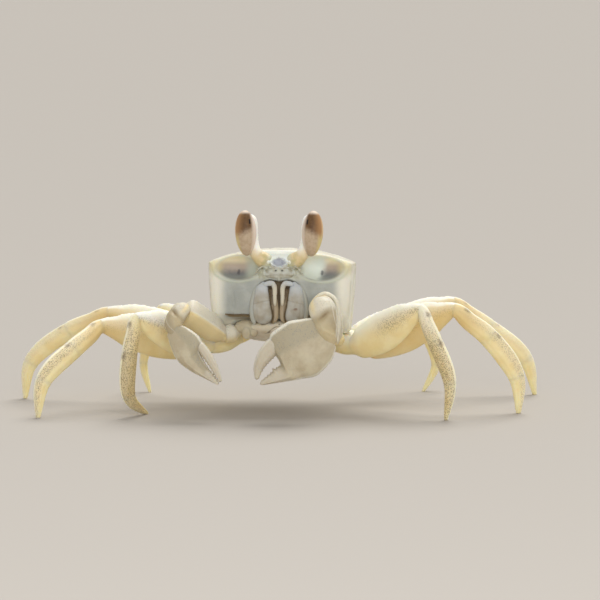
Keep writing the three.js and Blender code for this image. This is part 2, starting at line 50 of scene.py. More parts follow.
PITCH = np.radians(5)  # the trunk's front is raised by this
TO_LEFT = np.array([1.0, 0.0, 0.0])
BACKWARD = np.array([0.0, 1.0, 0.0])
UPRIGHT = np.array([0.0, 0.0, 1.0])
TRUNK_UP = np.array([0.0, np.sin(PITCH), np.cos(PITCH)])
TRUNK_FORWARD = np.array([0.0, -np.cos(PITCH), np.sin(PITCH)])
TRUNK_HEIGHT = 18.9
TRUNK = dict(half_width=12.1, front=-10.2, back=10.4, top=7.6, edge=5.4)
REACH = np.array([12.7, 11.4, 8.2])  # a box that holds the trunk
CORE = 0.3  # of the reach: where the search for the surface gives up
SHELL_GRID = (168, 96, 120)  # squares across, along and up the back shell
STRIDES = 70  # of the search inward for the surface
HALVINGS = 12  # of the last stride, to settle the surface's place
SOCKET = dict(x=7.3, y=-10.7, z=4.6, rx=4.3, ry=3.5, rz=2.3)
STALK_HOLLOW = dict(x=3.1, y=-10.5, z=5.6, rx=1.7, ry=1.7, rz=1.35)
MOUTH = dict(half_width=4.65, top=2.45, bottom=-5.6, floor=-8.9)

PLATE_MARGIN = [(0, 1.9), (0.3, 1.5), (0.55, 1.25), (0.78, 0.95), (0.9, 1.1), (1, 2.0)]  # of a mouth plate

SIDES = {"left": 1, "right": -1}
SEGMENTS = ["base", "merus", "carpus", "propodus", "dactyl"]
LEG_LENGTHS = [
    dict(base=5.2, merus=14.8, carpus=5.6, propodus=7.2, dactyl=6.2),
    dict(base=5.6, merus=18.0, carpus=7.2, propodus=8.2, dactyl=6.0),
    dict(base=5.6, merus=17.8, carpus=7.4, propodus=8.6, dactyl=6.2),
    dict(base=4.6, merus=12.6, carpus=5.0, propodus=6.0, dactyl=5.2),
]
LEG_ROOTS = [(7.2, -2.8), (7.6, 0.6), (7.4, 4.0), (6.4, 7.0)]
LEG_ROOT_Z = -7.0
LEG_BASE_PITCH = -12
LEG_DEPTH = [6.4, 7.0, 6.6, 4.9]
SHANK_DEPTH = [2.75, 3.35, 3.05, 2.1]
TUCK = 0.5  # how far each segment reaches into its neighbours
STEEPEST_FACING = 25  # the shanks' flat sides turn no further forward than this, in degrees
FOOT_SINK = 0.25
# Headings of merus and shank, then pitches of carpus, propodus and dactyl, in degrees.
LEG_POSES = {
    "right": [(33, 62, -71, -88, -145), (14, 52, -27, -34, -77), (-1, -3, -25, -40, -80),
              (-18, -43, -61, -65, -109)],
    "left": [(27, 25, -63, -67, -96), (18, -10, -39, -55, -86), (-26, -14, -35, -41, -75),
             (-38, -38, -44, -68, -120)],
}
CLAWS = {
    "left": dict(
        root=(6.2, -6.8, 13.4), shoulder=(9.6, -8.2, 12.3), elbow=(8.5, -14.4, 19.4),
        wrist=(7.8, -17.6, 15.7), tip=(-2.7, -19.6, 7.1), merus=5.2, thickness=4.4,
        merus_width=[(0, 0.5), (0.6, 0.7), (1, 0.72)],
        carpus=[(7.66, -14.8, 19.84), (7.66, -16.2, 18.6), (8.13, -17.7, 16.26), (8.55, -17.9, 13.83),
                (8.71, -17.3, 12.3)],
        carpus_half=[(0, 1.95), (0.2, 2.25), (0.53, 2.0), (0.81, 1.6), (1, 1.2)],
        rims=[(0.36, [(5.7, -15.9, 17.9), (6.2, -15.2, 19.6), (7.9, -14.8, 20.75), (9.5, -15.0, 20.0),
                      (10.2, -15.5, 18.2), (10.3, -16.0, 15.8), (10.1, -16.6, 13.0)]),
              (0.28, [(6.6, -16.0, 19.9), (8.0, -15.6, 20.3), (9.2, -15.9, 19.5), (9.85, -16.3, 17.9),
                      (9.95, -16.8, 15.8), (9.85, -17.2, 13.6)])],
        fork=0.67,
        back=[(0, 1.9), (0.14, 3.1), (0.3, 4.2), (0.5, 4.4), (0.6, 3.7), (0.67, -0.5), (1, -0.6)],
        belly=[(0, -3.7), (0.07, -4.4), (0.2, -5.3), (0.4, -5.6), (0.58, -4.4), (0.8, -2.7), (1, -1.1)],
        finger=[(0.52, 2.6), (0.7, 2.4), (0.88, 1.5), (1, 0.1)],
        finger_depth=[(0, 1.5), (0.35, 1.3), (0.7, 0.85), (1, 0.27)],
    ),
    "right": dict(
        root=(-6.0, -6.8, 13.6), shoulder=(-9.4, -8.6, 12.9), elbow=(-15.4, -13.9, 17.8),
        wrist=(-16.8, -16.9, 15.2), tip=(-8.8, -19.2, 6.5), merus=4.8, thickness=2.9,
        merus_width=[(0, 1.0), (1, 1.0)],
        carpus=[(-14.9, -13.6, 18.6), (-15.7, -15.1, 17.5), (-16.6, -16.5, 15.9), (-16.5, -17.1, 14.4),
                (-15.9, -17.2, 13.2)],
        carpus_half=[(0, 1.2), (0.25, 1.6), (0.5, 1.65), (0.75, 1.2), (1, 0.6)],
        rims=[],
        fork=0.74,
        back=[(0, 1.0), (0.17, 1.9), (0.33, 2.3), (0.42, 2.1), (0.5, 0.7), (0.74, 0.1), (1, -0.15)],
        belly=[(0, -1.3), (0.08, -1.7), (0.24, -2.5), (0.4, -2.9), (0.63, -2.3), (0.8, -1.5), (1, -0.5)],
        finger=[(0.38, 1.5), (0.58, 1.4), (0.8, 0.95), (1, 0.2)],
        finger_depth=[(0, 0.75), (0.3, 0.75), (0.7, 0.55), (1, 0.27)],
    ),
}
# Of a claw's depth: its base and merus above and below the middle line, and to each side of it.
CLAW_ARM = {
    "base": dict(
        rise=[(0, 0.1), (0.3, 0.18), (0.62, 0.32), (1, 0.27)],
        drop=[(0, 0.1), (0.3, 0.18), (0.62, 0.32), (1, 0.27)],
        half=[(0, 0.1), (0.3, 0.18), (0.62, 0.32), (1, 0.26)],
    ),
    "merus": dict(
        rise=[(0, 0.28), (0.3, 0.46), (0.8, 0.5), (1, 0.36)],
        drop=[(0, 0.28), (0.3, 0.46), (0.8, 0.46), (1, 0.32)],
        half=[(0, 0.26), (0.3, 0.4), (0.8, 0.45), (1, 0.34)],
    ),
}
EYE = dict(foot=(2.55, -9.35, 5.75), bottom=(5.3, -9.95, 26.3), top=(5.7, -9.3, 33.75), radius=1.74)

# ---------------------------------------------------------------- numbers and curves


def clamp(t):
    return np.clip(t, 0.0, 1.0)


def smoothstep(a, b, t):
    u = clamp((t - a) / (b - a))
    return u * u * (3 - 2 * u)


def bell(t, width):
    """1 where t is 0, falling to nothing at about twice the width."""
    return np.exp(-((t / width) ** 2))


def smax(a, b, k):
    h = np.maximum(k - np.abs(a - b), 0) / k
    return np.maximum(a, b) + h * h * k / 4


def smin(a, b, k):
    return -smax(-a, -b, k)


def signed_power(v, e):
    return np.sign(v) * np.abs(v) ** e


def unit(v):
    return v / np.maximum(np.linalg.norm(v, axis=-1, keepdims=True), 1e-12)


def through(stops, t):
    """A smooth curve through (at, value) stops, read at t, that never swings past them."""
    at, value = np.array(stops, float).T
    gap = np.diff(at)
    slope = np.diff(value) / gap
    tangent = np.concatenate([slope[:1], np.zeros(len(at) - 2), slope[-1:]])
    for k in range(1, len(at) - 1):
        if slope[k - 1] * slope[k] > 0:
            before, after = 2 * gap[k] + gap[k - 1], gap[k] + 2 * gap[k - 1]
            tangent[k] = (before + after) / (before / slope[k - 1] + after / slope[k])
    i = np.clip(np.searchsorted(at, t, side="right") - 1, 0, len(at) - 2)
    u = clamp((t - at[i]) / gap[i])
    return (value[i] * (2 * u**3 - 3 * u**2 + 1) + value[i + 1] * (3 * u**2 - 2 * u**3)
            + gap[i] * (tangent[i] * (u**3 - 2 * u**2 + u) + tangent[i + 1] * (u**3 - u**2)))


def from_trunk(points):
    """From the trunk's own frame to the animal's."""
    x, y, z = np.moveaxis(np.asarray(points, float), -1, 0)
    c, s = np.cos(PITCH), np.sin(PITCH)
    return np.stack([x, y * c + z * s, z * c - y * s + TRUNK_HEIGHT], axis=-1)


def to_trunk(points):
    x, y, z = np.moveaxis(np.asarray(points, float), -1, 0)
    z = z - TRUNK_HEIGHT
    c, s = np.cos(PITCH), np.sin(PITCH)
    return np.stack([x, y * c - z * s, z * c + y * s], axis=-1)


def mirrored(points, sign):
    return np.array(points, float) * [sign, 1, 1]


def trunk_points(x, y, z):
    """Points given by their places in the trunk's frame, any of which may be one number for all."""
    return from_trunk(np.stack(np.broadcast_arrays(x, y, z), axis=-1))


class Path:
    """A smooth curve through a few points, read by its share from end to end."""

    def __init__(self, points, steps=60):
        p = np.array(points, float)
        p = np.vstack([2 * p[0] - p[1], p, 2 * p[-1] - p[-2]])
        gap = np.maximum(np.linalg.norm(np.diff(p, axis=0), axis=1) ** 0.5, 1e-6)
        u = np.linspace(0, 1, steps, endpoint=False)[:, None]
        places = []
        for i in range(1, len(p) - 2):
            a, b, c = gap[i - 1 : i + 2]
            leave = ((p[i] - p[i - 1]) / a - (p[i + 1] - p[i - 1]) / (a + b) + (p[i + 1] - p[i]) / b) * b
            arrive = ((p[i + 1] - p[i]) / b - (p[i + 2] - p[i]) / (b + c) + (p[i + 2] - p[i + 1]) / c) * b
            places.append(
                p[i] * (2 * u**3 - 3 * u**2 + 1)
                + leave * (u**3 - 2 * u**2 + u)
                + p[i + 1] * (3 * u**2 - 2 * u**3)
                + arrive * (u**3 - u**2)
            )
        self.places = np.vstack([*places, p[-2:-1]])
        length = np.linalg.norm(np.diff(self.places, axis=0), axis=1)
        self.length = length.sum()
        self.share = np.concatenate([[0], np.cumsum(length)]) / self.length
        self.stops = self.share[::steps]  # the share at each of the points given

    def at(self, s):
        return np.stack([np.interp(s, self.share, self.places[:, k]) for k in range(3)], axis=-1)

    def along(self, s):
        step = 0.01
        return unit(self.at(np.minimum(s + step, 1)) - self.at(np.maximum(s - step, 0)))


def trunk_path(points, sign):
    return Path(from_trunk(mirrored(points, sign)))


def hashed(cell, seed):
    """Numbers from 0 to 1, settled by whole-number cells and a seed."""
    x, y, z = np.moveaxis(cell, -1, 0)
    n = x * 73856093 ^ y * 19349663 ^ z * 83492791 ^ (seed + 1) * 50331653
    n = ((n ^ (n >> 13)) * 1274126177) & 0xFFFFFFFF
    n = ((n ^ (n >> 15)) * 668265263) & 0xFFFFFFFF
    return ((n ^ (n >> 16)) & 0xFFFFFF) / 0xFFFFFF


def drift(points, size, seed):
    """Slow smooth noise from -1 to 1, with swells about size across."""
    grid = points / size
    cell = np.floor(grid).astype(np.int64)
    u = grid - cell
    u = u * u * (3 - 2 * u)
    total = 0
    for corner in itertools.product((0, 1), repeat=3):
        corner = np.array(corner)
        weight = np.prod(np.where(corner == 1, u, 1 - u), axis=-1)
        total = total + weight * hashed(cell + corner, seed)
    return total * 2 - 1


def granules(points, size, seed):
    """Low round grains about size apart: 0 between them and up to 1 on top."""
    cell = np.floor(points / size).astype(np.int64)
    height = np.zeros(len(points))
    for step in itertools.product((-1, 0, 1), repeat=3):
        near = cell + np.array(step)
        middle = near + 0.2 + 0.6 * np.stack([hashed(near, seed + k) for k in range(3)], axis=-1)
        reach = 0.32 + 0.3 * hashed(near, seed + 3)
        away = np.linalg.norm(points / size - middle, axis=1)
        height = np.maximum(height, 1 - (away / reach) ** 2)
    return height


# ---------------------------------------------------------------- shapes


class Shape:
    """Points in millimetres, faces of three or four corners, and named marks: a number kept at each point."""

    def __init__(self, points, faces, bake=None, **marks):
        self.points = points
        self.faces = faces
        self.bake = bake
        self.marks = marks

    def read(self, *names):
        return [self.marks[name] for name in names]

    def keep(self, **marks):
        """Keeps more marks, each a number for every point or one for them all."""
        for name, value in marks.items():
            self.marks[name] = np.zeros(len(self.points)) + value
        return self

    def normals(self):
        total = np.zeros_like(self.points)
        for corners in self.faces:
            p = self.points[corners]
            normal = np.cross(p[:, 2] - p[:, 0], p[:, -1] - p[:, 1])
            for k in range(corners.shape[1]):
                for axis in range(3):
                    total[:, axis] += np.bincount(corners[:, k], normal[:, axis], len(total))
        return unit(total)

    def raised(self, amount):
        """Moves each point out along its normal by an amount in millimetres."""
        self.points = self.points + self.normals() * np.asarray(amount)[..., None]
        return self

    def outward(self):
        """Turns the faces round if they point in."""
        volume = 0
        for corners in self.faces:
            p = self.points[corners]
            volume += np.einsum("ij,ij->", p[:, 0], np.cross(p[:, 1], p[:, 2]))
            if corners.shape[1] == 4:
                volume += np.einsum("ij,ij->", p[:, 0], np.cross(p[:, 2], p[:, 3]))
        if volume < 0:
            self.faces = [corners[:, ::-1] for corners in self.faces]
        return self


def joined(shapes):
    points, faces, start = [], [], 0
    for shape in shapes:
        points.append(shape.points)
        faces += [corners + start for corners in shape.faces]
        start += len(shape.points)
    names = set().union(*(shape.marks for shape in shapes))
    marks = {}
    for name in sorted(names):
        parts = [shape.marks.get(name, np.zeros(len(shape.points))) for shape in shapes]
        marks[name] = np.concatenate(parts)
    return Shape(np.vstack(points), faces, **marks)


def shares(rings, even=0.35):
    """Places of the rings along a limb, closer together at its ends."""
    u = np.linspace(0, 1, rings)
    return even * u + (1 - even) * (0.5 - 0.5 * np.cos(np.pi * u))


def domed(s, start, end, power=2.0):
    """Closes a limb's two ends with round shoulders that take up these shares of it."""
    near = clamp(1 - s / start)
    far = clamp(1 - (1 - s) / end)
    return np.maximum(1 - np.maximum(near, far) ** power, 1e-4) ** (1 / power)


def pole_to_pole(rings, gap):
    """Places of a ball's rings, which stop a little short of its poles."""
    return 0.5 - 0.5 * np.cos(np.pi * np.linspace(gap, 1 - gap, rings))


def loft(s, centre, up, side, rise, drop, half, power, sides):
    """A closed limb of rings at shares s of its length. power 1 makes them oval, and less squares them."""
    angle = 2 * np.pi * np.arange(sides) / sides
    height = signed_power(np.sin(angle), power)[None, :]
    across = signed_power(np.cos(angle), power)[None, :]
    upward = np.where(height > 0, rise[:, None], drop[:, None]) * height
    sideways = half[:, None] * across
    up = np.broadcast_to(up, centre.shape)
    side = np.broadcast_to(side, centre.shape)
    rings = centre[:, None] + up[:, None] * upward[..., None] + side[:, None] * sideways[..., None]
    points = np.vstack([rings.reshape(-1, 3), centre[:1], centre[-1:]])
    count = len(s)
    first = np.arange(count * sides).reshape(count, sides)
    after = np.roll(first, -1, axis=1)
    quads = np.stack([first[:-1], after[:-1], after[1:], first[1:]], axis=-1).reshape(-1, 4)
    ends = [
        np.stack([after[0], first[0], np.full(sides, count * sides)], axis=-1),
        np.stack([first[-1], after[-1], np.full(sides, count * sides + 1)], axis=-1),
    ]
    spread = np.ones((count, 1))
    marks = dict(
        along=np.concatenate([(s[:, None] * np.ones((1, sides))).ravel(), [s[0], s[-1]]]),
        up=np.concatenate([(spread * height).ravel(), [0, 0]]),
        out=np.concatenate([(spread * across).ravel(), [0, 0]]),
    )
    return Shape(points, [quads, np.vstack(ends)], **marks).outward()


def strip(path, s, facing, rise, drop, half, power, sides):
    """A closed limb along a path, whose sides stand square to the path and to the facing direction."""
    along = path.along(s)
    side = unit(np.cross(along, facing))
    return loft(s, path.at(s), unit(np.cross(side, along)), side, rise, drop, half, power, sides)


def straight_frame(a, b):
    """The directions of a straight segment whose depth lies in the upright plane."""
    along = unit(b - a)
    side = unit(np.cross(along, UPRIGHT))
    return unit(np.cross(side, along)), side


# ---------------------------------------------------------------- material building


def rgb(r, g, b):
    """A screen colour, 0 to 255, as the renderer's own."""
    c = np.array([r, g, b]) / 255
    linear = np.where(c <= 0.04045, c / 12.92, ((c + 0.055) / 1.055) ** 2.4)
    return (*(float(v) for v in linear), 1.0)


class Value:
    """A number that varies over a surface. Sums on it add Math nodes."""

    def __init__(self, finish, socket):
        self.finish = finish
        self.socket = socket

    def math(self, operation, *others):
        return self.finish.math(operation, self, *others)

    def __add__(self, other):
        return self.math("ADD", other)

    __radd__ = __add__

    def __mul__(self, other):
        return self.math("MULTIPLY", other)

    __rmul__ = __mul__

    def __sub__(self, other):
        return self.math("SUBTRACT", other)

    def __rsub__(self, other):
        return self.finish.math("SUBTRACT", other, self)


class Finish:
    """A material for one kind of shell, built node by node."""

    def __init__(self, name, **constants):
        self.material = bpy.data.materials.new(name)
        self.material.use_nodes = True
        self.tree = self.material.node_tree
        self.shader = self.tree.nodes["Principled BSDF"]
        for socket, value in constants.items():
            self.shader.inputs[socket.replace("_", " ")].default_value = value
        self.seen = {}
        self.colour = None

    def node(self, kind, settings=None, inputs=None, output=0):
        made = self.tree.nodes.new(kind)
        for key, value in (settings or {}).items():
            setattr(made, key, value)
        for key, value in (inputs or {}).items():
            self.feed(made.inputs[key], value)
        return made.outputs[output]

    def feed(self, socket, value):
        value = value.socket if isinstance(value, Value) else value
        if isinstance(value, bpy.types.NodeSocket):
            self.tree.links.new(value, socket)
        else:
            socket.default_value = value

    def value(self, *args, **kwargs):
        return Value(self, self.node(*args, **kwargs))

    def math(self, operation, *numbers):
        settings = dict(operation=operation)
        return self.value("ShaderNodeMath", settings, dict(enumerate(numbers)))

    def mark(self, name):
        """A number kept at the shape's points."""
        if name not in self.seen:
            self.seen[name] = self.value("ShaderNodeAttribute", dict(attribute_name=name), output=2)
        return self.seen[name]

    def place(self):
        """The point on the surface, in millimetres."""
        if "place" not in self.seen:
            metres = self.node("ShaderNodeTexCoord", output=3)
            self.seen["place"] = self.node(
                "ShaderNodeVectorMath", dict(operation="SCALE"), {0: metres, "Scale": 1 / MM}
            )
        return self.seen["place"]

    def cloud(self, size, detail=2.0, roughness=0.5, offset=0.0):
        """Noise from 0 to 1 with patches about size across, in millimetres."""
        place = self.node("ShaderNodeVectorMath", dict(operation="ADD"), {0: self.place(), 1: (offset,) * 3})
        inputs = {"Vector": place, "Scale": 1 / size, "Detail": detail, "Roughness": roughness}
        return self.value("ShaderNodeTexNoise", None, inputs)

    def cells(self, size, randomness=1.0):
        """Distance, in cells, from the nearest of points scattered about size apart."""
        inputs = {"Vector": self.place(), "Scale": 1 / size, "Randomness": randomness}
        return self.value("ShaderNodeTexVoronoi", None, inputs)

    def marbling(self, size):
        return self.ramp(self.cloud(size, offset=23.0), 0.4, 0.62)

    def grained(self, grain, high, dust, rough):
        """A height for a shell's fine relief: round grains, and finer dust between and over them."""
        return self.ramp(self.cells(grain), 0.5, 0.0) * high + self.cloud(dust) * rough

    def ramp(self, value, low, high):
        """0 below low, 1 above high and smooth between them."""
        inputs = {"Value": value, "From Min": low, "From Max": high}
        return self.value("ShaderNodeMapRange", dict(interpolation_type="SMOOTHSTEP"), inputs)

    def mix(self, first, second, share):
        return self.node("ShaderNodeMix", dict(data_type="RGBA"), {0: share, 6: first, 7: second}, output=2)

    def mottled(self, first, second, patches, low=0.35, high=0.7):
        return self.mix(first, second, self.ramp(patches, low, high))

    def paint(self, colour, share):
        """Lays a colour over those before it: all of it where share is 1 and none where it is 0."""
        self.colour = self.mix(self.colour, colour, share)

    def finish(self, roughness, relief, depth):
        """relief is a height, 0 to 1, and depth is what 1 stands for, in millimetres."""
        self.feed(self.shader.inputs["Base Color"], self.colour)
        self.feed(self.shader.inputs["Roughness"], roughness)
        bump = self.node("ShaderNodeBump", None, {"Distance": depth * MM, "Height": relief})
        self.feed(self.shader.inputs["Normal"], bump)
        return self.material


# ---------------------------------------------------------------- putting pieces in place


def fill_mesh(name, shape):
    mesh = bpy.data.meshes.new(name)
    mesh.vertices.add(len(shape.points))
    mesh.vertices.foreach_set("co", ((shape.points + STANCE) * MM).astype(np.float32).ravel())
    corners = np.concatenate([faces.ravel() for faces in shape.faces])
    sizes = np.concatenate([np.full(len(faces), faces.shape[1]) for faces in shape.faces])
    mesh.loops.add(len(corners))
    mesh.loops.foreach_set("vertex_index", corners.astype(np.int32))
    mesh.polygons.add(len(sizes))
    mesh.polygons.foreach_set("loop_start", (np.cumsum(sizes) - sizes).astype(np.int32))
    mesh.update(calc_edges=True)
    mesh.validate()
    mesh.polygons.foreach_set("use_smooth", np.ones(len(mesh.polygons), bool))
    for mark, values in shape.marks.items():
        attribute = mesh.attributes.new(mark, "FLOAT", "POINT")
        attribute.data.foreach_set("value", np.asarray(values, np.float32))
    if shape.bake is not None:
        layer = mesh.uv_layers.new(name="OFBake")
        layer.data.foreach_set("uv", shape.bake[corners].astype(np.float32).ravel())
    return mesh


def show(name, data):
    shown = bpy.data.objects.new(name, data)
    bpy.context.scene.collection.objects.link(shown)
    return shown


def place_piece(name, shape, material, slot, *nodes):
    """Shows a shape as one piece, in the place of the CAD nodes that it stands for."""
    piece = show(name, fill_mesh(name, shape))
    piece.data.materials.append(material)
    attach(piece, "root")
    if nodes:
        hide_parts(*nodes)


# ---------------------------------------------------------------- trunk


def outline(y):
    return TRUNK["half_width"] - 4.9 * clamp((y + 3) / 13.3) ** 2.2 - 0.25 * clamp((-3 - y) / 5.5) ** 2


def crest(y):
    return TRUNK["top"] - 0.012 * (y + 1) ** 2 * np.where(y > -1, 1.3, 0.5)


def edge_height(y):
    return TRUNK["edge"] - 2.4 * clamp((y + 4) / 14) ** 1.6


def oval_distance(o, x, y, z):
    across, along, up = (x - o["x"]) / o["rx"], (y - o["y"]) / o["ry"], (z - o["z"]) / o["rz"]
    return (np.sqrt(across**2 + along**2 + up**2) - 1) * min(o["rx"], o["ry"], o["rz"])


def mouth_hollow(x, y, z):
    half = MOUTH["half_width"] - 0.9 * smoothstep(-1.5, MOUTH["top"], z)
    arch = MOUTH["top"] + 0.22 * bell(x - 1.5, 0.9) - 0.1
    frame_gap = np.maximum(smax(x - half, z - arch, 2.2), MOUTH["bottom"] - z)
    return frame_gap, np.maximum(frame_gap, y - MOUTH["floor"])


def front_lobe(x, y, z):
    """The narrow front that hangs down between the eyestalks, with a raised rim."""
    tip, reach = 4.65, 2.3
    up = clamp((z - tip) / reach)
    half = 0.6 + 2.45 * up**0.8
    rim = 0.14 * bell(x - half + 0.22, 0.2) * smoothstep(6.7, 5.6, z)
    face = -10.95 + 1.75 * up**1.3 - rim + 0.1 * bell(x, 0.9) * up
    return np.maximum.reduce([x - half, face - y, tip - z, z - crest(y) - 0.05, y + 8])


def face_plane(x, z):
    return (TRUNK["front"] + 0.0125 * x * x + 0.022 * np.minimum(0, z - 2) ** 2
            + 0.03 * np.maximum(0, z - 2) ** 2)


def back_grooves(x, y):
    """The two long furrows of the back, the bar between them and the one that fans out from each."""
    furrow = bell(x - 2.5 - 0.35 * np.sin((y - 1) * 0.55), 0.36)
    furrow = furrow * smoothstep(-4.5, -2.5, y) * smoothstep(7.5, 4.5, y)
    bar = bell(y - 1.4 - 0.05 * x * x, 0.3) * smoothstep(3.4, 2.2, x)
    fan = bell(y + 2.6 - 0.42 * (x - 3.2), 0.34) * smoothstep(2.6, 3.4, x) * smoothstep(8.5, 6.5, x)
    return np.maximum.reduce([furrow, 0.8 * bar, 0.7 * fan])


def shell_field(px, y, z):
    """Signed distance, roughly, to the back shell: negative inside."""
    x = np.abs(px)
    width = outline(y)
    down = edge_height(y) - z
    wall = x - (width - 0.07 * np.maximum(0, down) + 0.12 * np.sin(clamp(down / 11) * np.pi))
    roof = z - (crest(y) - (crest(y) - edge_height(y)) * (x / width) ** 2.4)
    face = face_plane(x, z) - y
    rear = y - (TRUNK["back"] - 0.012 * x * x - 0.035 * (z - 1.5) ** 2)
    hem = (-4.6 - 1.75 * smoothstep(6.5, 9, x) * smoothstep(-8.5, -4.5, y)
           + 0.9 * (1 - smoothstep(-9, -6, y)) + 0.3 * np.maximum(0, y - 5))
    socket = oval_distance(SOCKET, x, y, z)
    frame_gap, mouth = mouth_hollow(x, y, z)
    # beaded ridge where the back turns into the side wall
    ridge = bell(wall - roof, 0.4) * smoothstep(7, 3, y) * smoothstep(-9.6, -8.6, y)
    beads = 0.75 + 0.25 * np.cos(2 * np.pi * y / 0.62)
    relief = 0.16 * ridge * beads
    # the sockets' raised margins, the lower one beaded
    turn = np.arctan2((z - SOCKET["z"]) / SOCKET["rz"], (x - SOCKET["x"]) / SOCKET["rx"])
    on_face = smoothstep(-7.6, -8.8, y)
    relief += 0.13 * bell(socket - 0.2, 0.17) * on_face * (0.8 + 0.2 * np.cos(34 * turn))
    # the mouth frame's rim, the upright crease in the cheek and the fold under the socket
    relief += 0.05 * bell(frame_gap - 0.25, 0.22) * on_face
    crease = bell(x - 7.55 - 0.12 * np.sin(z * 1.3), 0.13)
    relief -= 0.13 * (crease * smoothstep(0.9, 0.1, z) * smoothstep(-4.6, -3.9, z)) * on_face
    fold = bell(z - 0.95 + 0.05 * (x - 6.8) ** 2, 0.3) * smoothstep(5.0, 6.0, x) * smoothstep(9.0, 8.0, x)
    relief -= 0.06 * fold * on_face
    # regions of the back: the two long furrows, the bar between them and swollen flanks
    above = smoothstep(0.9, -0.2, np.abs(roof)) * smoothstep(-8.0, -6.5, y)
    swell = bell(x - 6.2, 2.0) * bell(y - 3.5, 3.6) + 0.7 * bell(x - 1.35, 1.1) * bell(y + 3.6, 2.4)
    relief += above * (0.16 * swell - 0.22 * back_grooves(x, y))
    relief += 0.1 * bell(z - hem - 0.6, 0.18) * smoothstep(-7.5, -5.0, y)
    field = smax(wall, roof, 0.9 + 0.7 * smoothstep(-7.0, -9.0, y))
    field = smax(field, face, 1.3 - 0.8 * smoothstep(3.5, 5.5, z))
    field = smax(field, rear, 2.2)
    field = smax(field, hem - z, 1.0)
    field = field - relief
    field = smax(field, -socket, 0.3)
    field = smax(field, -oval_distance(STALK_HOLLOW, x, y, z), 0.3)
    field = smax(field, -mouth, 0.3)
    return smin(field, front_lobe(x, y, z), 0.2)


def box_grid(divisions):
    """The outside of a lattice: its points, from -1 to 1, and its square faces."""
    n = np.array(divisions)
    faces = []
    for axis in range(3):
        u, v = (axis + 1) % 3, (axis + 2) % 3
        i, j = np.meshgrid(np.arange(n[u]), np.arange(n[v]), indexing="ij")
        for end in (0, n[axis]):
            corners = []
            for di, dj in ((0, 0), (1, 0), (1, 1), (0, 1)):
                cell = np.zeros((*i.shape, 3), int)
                cell[..., axis], cell[..., u], cell[..., v] = end, i + di, j + dj
                corners.append(cell)
            square = np.stack(corners, axis=2).reshape(-1, 4, 3)
            faces.append(square if end else square[:, ::-1])
    corners = np.vstack(faces)
    key = (corners[..., 0] * (n[1] + 1) + corners[..., 1]) * (n[2] + 1) + corners[..., 2]
    _, first, index = np.unique(key, return_index=True, return_inverse=True)
    lattice = corners.reshape(-1, 3)[first]
    return lattice / n * 2 - 1, index.reshape(-1, 4)


def shell_points(grid):
    """Draws the lattice in until it meets the shell. On the face the rays run nearly straight back."""
    ahead = smoothstep(-0.2, -1.0, grid[:, 1])
    inward = np.stack([
        CORE + 0.5 * ahead,
        np.full(len(grid), CORE),
        CORE + np.where(grid[:, 2] > 0, 0.35, 0.15) * ahead,
    ], axis=-1)
    outer = grid * REACH
    inner = outer * inward

    def at(t):
        return inner + (outer - inner) * t[:, None]

    outside = np.ones(len(grid))
    inside = np.ones(len(grid))
    for _ in range(STRIDES):
        looking = shell_field(*at(inside).T) > 0
        outside = np.where(looking, inside, outside)
        inside = np.where(looking, np.maximum(inside - 1 / STRIDES, 0), inside)
    for _ in range(HALVINGS):
        middle = (outside + inside) / 2
        empty = shell_field(*at(middle).T) > 0
        outside = np.where(empty, middle, outside)
        inside = np.where(empty, inside, middle)
    return at(inside)


def carapace_shape():
    grid, quads = box_grid(SHELL_GRID)
    points = shell_points(grid)
    x, y, z = np.abs(points[:, 0]), points[:, 1], points[:, 2]
    socket = oval_distance(SOCKET, x, y, z)
    depth = np.maximum(y - face_plane(x, z), 0)
    front = smoothstep(-7.4, -8.4, y)
    shape = Shape(from_trunk(points), [quads]).outward()
    shape.keep(
        trunk_x=points[:, 0],
        trunk_z=z,
        front=front,
        depth=depth,
        hollow=smoothstep(0.15, 0.9, depth) * smoothstep(0.5, 0.2, socket),
        rim=bell(socket - 0.2, 0.2) * front,
        lobe=smoothstep(0.35, 0.0, front_lobe(x, y, z)) * smoothstep(-8.6, -9.0, y),
        groove=back_grooves(x, y) * smoothstep(3.0, 5.0, z) * smoothstep(-8.0, -6.5, y),
    )
    away_from_face = 1 - 0.8 * front
    coarse = granules(points, 0.62, 3) * smoothstep(2.5, 6.0, z) * away_from_face
    fine = granules(points, 0.42, 9) * away_from_face
    plain = 1 - np.maximum(*shape.read("hollow", "lobe"))
    return shape.raised((0.055 * coarse + 0.03 * fine) * plain + 0.03 * drift(points, 3.1, 5))


